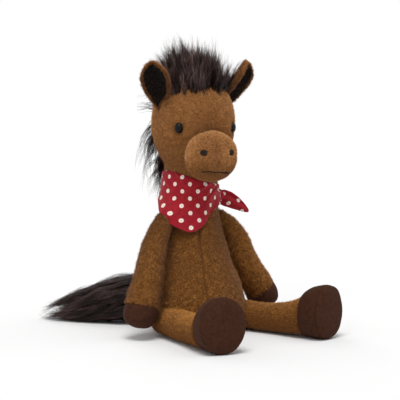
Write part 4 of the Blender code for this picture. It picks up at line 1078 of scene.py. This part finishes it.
def make_mane():
    """Locks rooted down the back of the head, flowing out, then down and to its right."""
    rng = np.random.default_rng(61)
    locks, per_lock, steps, wisps = 170, 28, 9, 12
    wispy = slice(0, wisps)
    height = MANE_TOP - MANE_LENGTH * rng.random(locks)
    angle = np.radians(rng.uniform(*MANE_ANGLES, locks))
    high = height > MANE_SHOULDER
    angle[high] = np.radians(rng.uniform(*MANE_HIGH_ANGLES, high.sum()))
    height[wispy] = np.where(np.arange(wisps) % 2, *WISP_HEIGHTS) + rng.normal(size=wisps) * 0.003
    angle[wispy] = np.radians(rng.uniform(*WISP_ANGLES, wisps))
    reach = np.maximum(head_girth(height), NECK_RADIUS + 0.001) - 0.001
    way = np.stack([np.sin(angle), -np.cos(angle), np.zeros(locks)], axis=1)
    root = np.array((0.0, HEAD_BACK, 0.0)) + way * reach[:, None]
    fall = rng.uniform(0.026, 0.056, locks)
    flare = rng.uniform(0.006, 0.023, locks)
    flare[high] *= 0.5
    fall[wispy] = rng.uniform(-0.004, 0.004, wisps)
    flare[wispy] = rng.uniform(0.018, 0.03, wisps)
    aside = unit(way + np.array((-0.75, 0.0, 0.0)) * rng.uniform(0.1, 1.0, (locks, 1)))
    phase = rng.uniform(0.0, 2 * np.pi, locks)
    middle = np.array((0.0, HEAD_BACK))
    guides = np.empty((locks, steps, 3))
    for index, part in enumerate(np.linspace(0.0, 1.0, steps)):
        off = flare * (1.0 - (1.0 - part) ** 2.0)
        wave = 0.0036 * np.sin(phase + part * 2.6 * np.pi) * part
        place = root + aside * (off + wave)[:, None]
        place[:, 2] = height - fall * part**1.35 + 0.003 * math.sin(part * math.pi)
        clear = np.maximum(head_girth(place[:, 2]), NECK_RADIUS + 0.005) + 0.002
        away = place[:, :2] - middle
        far = np.linalg.norm(away, axis=1)
        place[:, :2] = middle + away * (np.maximum(far, clear) / far)[:, None]
        guides[:, index] = place
    paths = lock_paths(rounded_guides(guides), per_lock, 0.0022, 0.0008, 0.24, rng)
    of_wisp = np.arange(len(paths)) < wisps * per_lock
    fan = rng.normal(size=(len(paths), 1, 3)) * 0.0035 * of_wisp[:, None, None]
    paths += fan * (np.linspace(0.0, 1.0, steps) ** 1.5)[None, :, None]
    kept = rng.random(len(paths)) >= np.where(of_wisp, 0.8, 0.1)
    paths = turn_head(paths[kept])
    flat = paths - turn_head((0.0, HEAD_BACK, 0.0))
    flat[..., 2] = 0.0
    away = loose_ways(unit(flat), 0.35, rng)
    tones = hair_tones(locks, per_lock, 0.25, rng)[kept]
    hair = ribbons("mane_hair", paths, away, MANE_STRAND, tones)
    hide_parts("mane")
    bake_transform(hair)


def make_tail():
    rng = np.random.default_rng(71)
    way = np.array((-math.sin(TAIL_SWEEP), math.cos(TAIL_SWEEP), 0.0))
    side = np.cross(way, UP)
    table = rounded(6, TAIL_RADIUS_PLACES, TAIL_RADIUS_SHARES)

    def girth(share):
        return np.interp(share, *table.T) * TAIL_RADIUS

    def middle(share):
        """The tail's middle line: out of the body, then down on to the floor."""
        start = TAIL_ROOT[2] + 0.004
        line = TAIL_ROOT + way * (np.asarray(share) * TAIL_LENGTH)[..., None]
        line[..., 2] = start + (girth(share) - start) * np.clip(share / 0.16, 0.0, 1.0)
        return line

    locks, per_lock, steps = 250, 30, 12
    phase = rng.uniform(0.0, 2 * np.pi, locks)
    start = rng.uniform(0.0, 0.55, locks) ** 1.15
    stop = np.minimum(start + rng.uniform(0.4, 0.62, locks), 1.0 + rng.uniform(-0.04, 0.05, locks))
    turn = rng.uniform(-0.72 * np.pi, 0.72 * np.pi, locks)
    depth = np.sqrt(rng.uniform(0.55, 1.1, locks))
    guides = np.empty((locks, steps, 3))
    for index, part in enumerate(np.linspace(0.0, 1.0, steps)):
        share = start + (stop - start) * part
        reach = girth(np.clip(share, 0, 1)) * depth * min(0.35 + part * 2.0, 1.0)
        sway = 0.005 * np.sin(part * 3.0 * np.pi + phase) * part
        spin = 0.5 * np.pi + turn * (1.0 + 0.25 * part)
        guides[:, index] = (middle(share) + side * (np.cos(spin) * reach + sway)[:, None]
                            + UP * (np.sin(spin) * reach + 0.6 * sway)[:, None])
    paths = lock_paths(rounded_guides(guides), per_lock, 0.0026, 0.0008, 0.6, rng)
    paths[..., 2] = np.maximum(paths[..., 2], 0.0003 + 0.0006 * rng.random((len(paths), 1)))
    centre = TAIL_ROOT + way * ((paths - TAIL_ROOT) @ way)[..., None]
    centre[..., 2] = middle(np.array(0.5))[2] - 0.006
    away = loose_ways(paths - centre, 0.007, rng)
    tones = hair_tones(locks, per_lock, 0.12, rng) * 0.82
    hair = ribbons("tail_hair", paths, away, TAIL_STRAND, tones)
    finish_piece(hair, "tail", "hair", "tail")
    rings = []
    for share in np.linspace(0.0, TAIL_CORE_END, 26):
        radius = float(girth(share)) * 0.78 * (1.02 - (share / TAIL_CORE_END) ** 4)
        centre = middle(share)
        centre[2] = min(centre[2], radius * 1.06)
        rings.append(ring_points(centre, way, radius, radius, 36))
    core = shell_of("tail_core", rings, HAIR_BACK)
    crumple(core, "tail")
    flatten(core, 0.0002)
    finish_piece(core, "tail", "hair")


# Limbs

def dress_limb(form, body, side, rings, inner, comb, seed, keep=None, shade=None):
    """The plush of an arm or a leg, with its stuffing and its pile."""
    skin = shell_of(f"{body}_plush", rings, FUR_BACK)
    crumple(skin, form, side)
    flatten(skin)
    stuff(body, body, inner)
    finish_piece(skin, body, "fur", f"{body}_skin", fill=0.7)
    pile(skin, form, body, comb, FUR_PILE, seed + side, keep=keep, shade=shade)


def make_arm(side_name, side):
    body = f"arm_{side_name}"
    outs = [side * out for out in ARM_OUT[side]]
    track = rounded(8, outs, ARM_BACK, ARM_HEIGHTS[side], ARM_RADII[side])
    run = np.gradient(track[:, :3], axis=0)
    cap = track[0, :3] - unit(run[0]) * SHOULDER_CAP
    rings = [ring_points(cap, run[0], SHOULDER_CAP, SHOULDER_CAP, 60)]
    for row, way in zip(track, run):
        rings.append(ring_points(row[:3], way, row[3], row[3] * 0.94, 60))
    end, radius, way = track[-1, :3], track[-1, 3], unit(run[-1])
    rings.append(ring_points(end + way * 0.0012, way, radius * 1.02, radius, 60))
    dress_limb("arm", body, side, rings, rings[1:-1], way - UP * 0.3, 81)
    rings = []
    for radius_share, length_share in rounded(6, HAND_RADIUS_SHARES, HAND_LENGTH_SHARES):
        radius = max(HAND_RADIUS * radius_share, 0.0002)
        centre = end + way * HAND_LENGTH * length_share
        rings.append(ring_points(centre, way, radius, radius * 0.92, 64))
    hoof = shell_of(f"hand_{side_name}_suede", rings, SUEDE)
    seam_gap = (points_of(hoof) - end) @ unit(np.cross(way, UP))
    push(hoof, -HAND_SEAM_DEPTH * hump(seam_gap, 0.0011))
    crumple(hoof, "hand", side)
    finish_piece(hoof, body, "suede", f"hand_hoof_{side_name}", fill=0.8)


def make_leg(side_name, side):
    body = f"leg_{side_name}"
    hip = np.array((side * HIP[0], HIP[1], 0.0))
    splay = LEG_SPLAYS[side]
    way = np.array((side * math.sin(splay), -math.cos(splay), 0.0))
    rings = []
    table = rounded(8, LEG_REACH, LEG_HALF_HEIGHTS, LEG_HALF_WIDTHS, LEG_MIDDLES)
    for reach, tall, wide, middle in table:
        rings.append(ring_points(hip + way * reach + UP * middle, way, wide, tall, 64))

    def free(places, out):
        return (out[:, 2] > -0.85) & ((places - hip) @ way > -0.01)

    def shaded(places):
        """The legs' pile is painted darker as shade, and most at the sides low down and on the left leg.
        """
        return LEG_SHADES[side] - 0.34 * below(places, 0.026, 0.012)

    comb = -way * 0.8 - UP * 0.35
    dress_limb("leg", body, side, rings, rings[4:-3], comb, 91, keep=free, shade=shaded)
    rings = []
    for reach, tall in rounded(6, FOOT_REACH, FOOT_HALF_HEIGHTS):
        tall = max(tall, 0.0002)
        lift = tall if reach < FOOT_REACH[4] else FOOT_HALF_HEIGHTS[4]
        centre = hip + way * reach + UP * (lift + 0.0002)
        rings.append(ring_points(centre, way, tall * FOOT_WIDTH_SHARE, tall, 72, FOOT_SQUARENESS))
    hoof = shell_of(f"foot_{side_name}_suede", rings, SUEDE)
    push(hoof, -SOLE_SEAM_DEPTH * hump((points_of(hoof) - hip) @ way - SOLE_SEAM_REACH, 0.0008))
    crumple(hoof, "foot", side)
    flatten(hoof)
    finish_piece(hoof, body, "suede", f"foot_hoof_{side_name}", fill=0.85)


# Bandana

def edge_height(table, angle):
    return np.interp(angle, *rounded(6, np.radians(BANDANA_TURNS), table).T)


def bandana_reach(angle, height, share):
    """The cloth's distance from the neck's middle line, with its folds."""
    reach = np.maximum(torso_girth(height), NECK_RADIUS + 0.0005) + 0.0012
    front = hump(turn_gap(angle, math.radians(-84.0)), math.radians(32.0))
    side = hump(turn_gap(angle, math.radians(-120.0)), math.radians(34.0))
    drop = np.clip((0.146 - height) / 0.022, 0.0, 1.0)
    reach = reach + 0.014 * front * drop * drop * (3 - 2 * drop)
    reach = reach + 0.0045 * side * hump(height - 0.146, 0.016)
    reach = reach + 0.0016 * np.sin(5.0 * angle + 4.0 * share + 0.6) * share
    for middle, slope, place, size, width in FOLDS:
        gap = angle - math.radians(middle)
        reach = reach + size * hump(share - place - slope * gap, width) * hump(gap, 0.42)
    return reach + 0.0004 * hump(share - 1.0, 0.03)


def make_bandana():
    columns, rows = 220, 64
    angle = np.linspace(-np.pi, np.pi, columns, endpoint=False)
    top = edge_height(BANDANA_TOP, angle)
    bottom = edge_height(BANDANA_BOTTOM, angle)
    point_angle, point_height = BANDANA_POINT
    verts, cloth = [], []
    for share in np.linspace(0.0, 1.0, rows):
        height = top + (bottom - top) * share
        reach = bandana_reach(angle, height, share) - 0.0016 * hump(share, 0.03)
        verts.extend(around(angle, reach, height))
        cloth.extend(zip(CLOTH_REACH * (angle - point_angle), height - point_height))
    wrap = new_piece("bandana_cloth", verts, grid_faces(rows, columns), COTTON)
    set_cloth_map(wrap, cloth, CLOTH_REACH * 2 * math.pi)
    thicken(wrap, CLOTH, 1.0)
    knot, end = make_knot()
    finish_piece(wrap, "torso", "bandana_cotton", "bandana_wrap")
    finish_piece(knot, "torso", "bandana_cotton", "bandana_knot")
    finish_piece(end, "torso", "bandana_cotton", "bandana_end")
    return wrap, knot, end


def set_cloth_map(item, cloth, turn_length=None):
    """Where each point lies on the flat cloth, in metres."""
    layer = item.data.uv_layers.new(name="cloth")
    for polygon in item.data.polygons:
        corners = [cloth[index] for index in polygon.vertices]
        if turn_length is not None:
            reach = max(c[0] for c in corners)
            corners = [(c[0] + turn_length, c[1]) if reach - c[0] > turn_length / 2 else c
                       for c in corners]
        for loop, place in zip(polygon.loop_indices, corners):
            layer.data[loop].uv = place


def make_knot():
    """The knot, and the one end that hangs from it."""
    out = np.array((math.sin(KNOT_ANGLE), -math.cos(KNOT_ANGLE), 0.0))
    reach = float(bandana_reach(KNOT_ANGLE, KNOT_HEIGHT, 1.0))
    middle = np.array((0.0, float(axis_back(KNOT_HEIGHT)), KNOT_HEIGHT))
    centre = middle + out * (reach + KNOT_RADIUS * 0.55)
    rings = []
    for reach_share, rise in rounded(6, KNOT_REACH_SHARES, KNOT_RISE_SHARES):
        place = centre + UP * KNOT_RADIUS * 1.1 * rise
        rings.append(level_ring(place, KNOT_RADIUS * reach_share, 40))
    knot = shell_of("bandana_knot_cloth", rings, COTTON)
    for vert in knot.data.vertices:
        off = vert.co - Vector(centre)
        turn = math.atan2(off.y, off.x)
        vert.co += off.normalized() * 0.0007 * math.sin(5 * turn + 500 * off.z)
    set_cloth_map(knot, [(v.co.x + v.co.y, v.co.z) for v in knot.data.vertices])
    level = np.array((math.sin(END_ANGLE), -math.cos(END_ANGLE), 0.0))
    way = level * math.cos(END_DROOP) - UP * math.sin(END_DROOP)
    up = unit(np.cross(np.cross(way, UP), way))
    flat = np.cross(way, up)
    columns, rows = 15, 34
    verts, cloth = [], []
    for share in np.linspace(0.0, 1.0, rows):
        width = np.interp(share, END_PLACES, END_HALF_WIDTHS)
        sag = 0.0015 * math.sin(share * math.pi)
        for across in np.linspace(-1.0, 1.0, columns):
            fold = 0.0022 * math.cos(across * 4.2 + 0.5) * (1.0 - 0.7 * share)
            verts.append(centre + way * (share * END_LENGTH) + up * (across * width + sag) + flat * fold)
            cloth.append((share * END_LENGTH + 0.004, across * width + 0.0035))
    end = new_piece("bandana_end_cloth", verts, grid_faces(rows, columns, closed=False), COTTON)
    set_cloth_map(end, cloth)
    thicken(end, END_THICKNESS, 0.0)
    return knot, end


# Studio

def aim(item, place, way):
    """Puts a lamp or the camera at a place, looking one way."""
    item.location = place
    item.rotation_euler = way.to_track_quat("-Z", "Y").to_euler()
    bpy.context.scene.collection.objects.link(item)


def make_studio():
    """White to the camera, softer light on the horse, even suns and a pale floor."""
    world = bpy.data.worlds.new("studio")
    bpy.context.scene.world = world
    world.use_nodes = True
    tree = world.node_tree
    tree.nodes.clear()
    paths = node(tree, "LightPath").outputs
    seen = math_node(tree, "MAXIMUM", paths["Is Camera Ray"], paths["Is Glossy Ray"])
    seen = math_node(tree, "MAXIMUM", seen, paths["Is Transmission Ray"])
    white = (1.0, 1.0, 1.0, 1.0)
    light = node(tree, "Background", {"Color": white, "Strength": WORLD_LIGHT}).outputs[0]
    plain = node(tree, "Background", {"Color": white, "Strength": 1.0}).outputs[0]
    mix = node(tree, "MixShader", {0: seen, 1: light, 2: plain}).outputs[0]
    node(tree, "OutputWorld", {"Surface": mix})
    for name, (place, spread, power) in LAMPS.items():
        lamp = bpy.data.lights.new(name, "SUN")
        lamp.angle = math.radians(spread)
        lamp.energy = power
        aim(bpy.data.objects.new(name, lamp), place, LAMP_AIM - Vector(place))
    material, tree = new_material("studio_floor", 1.0, 0.0)
    tones = [(0.0, (0.96, 0.96, 0.96, 1.0)), (1.0, (0.98, 0.98, 0.98, 1.0))]
    paint(tree, ramp(tree, fabric_noise(tree, 6.0), tones))
    corners = ((-1, -1, 0), (1, -1, 0), (1, 1, 0), (-1, 1, 0))
    floor = new_piece("floor", np.array(corners) * FLOOR_REACH, [(0, 1, 2, 3)], material)
    floor.location.z = -0.0004


def make_camera():
    data = bpy.data.cameras.new("camera")
    data.sensor_width = SENSOR_WIDTH
    data.lens = SENSOR_WIDTH * CAMERA_DISTANCE / FRAME_WIDTH
    data.clip_end = 50.0
    item = bpy.data.objects.new("camera", data)
    look = Vector((
        -math.sin(PIXEL_VIEW_AZIMUTH) * math.cos(PIXEL_VIEW_ELEVATION),
        math.cos(PIXEL_VIEW_AZIMUTH) * math.cos(PIXEL_VIEW_ELEVATION),
        -math.sin(PIXEL_VIEW_ELEVATION),
    ))
    aim(item, Vector(CAMERA_TARGET) - look * CAMERA_DISTANCE, look)
    bpy.context.scene.camera = item


def dress_hidden_nodes():
    """Gives the solids inside the plush their own materials."""
    hidden = {"stuffing": FIBRE, "bean_bag": BEANS, "washer": WASHER}
    for name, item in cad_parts.items():
        for part, material in hidden.items():
            if part in name:
                for slot in item.material_slots:
                    slot.material = material


make_camera()
make_studio()
dress_hidden_nodes()
make_torso()
make_neck()
make_head()
dress_muzzle(make_muzzle())
for make_pair in (make_eye, make_ear):
    for pair_side, pair_sign in SIDES.items():
        make_pair(pair_side, pair_sign)
make_forelock()
make_mane()
make_tail()
for limb_side, limb_sign in SIDES.items():
    make_arm(limb_side, limb_sign)
    make_leg(limb_side, limb_sign)
wrap_item, knot_item, end_item = make_bandana()

bpy.context.scene.view_settings.view_transform = "Standard"
bpy.context.view_layer.update()
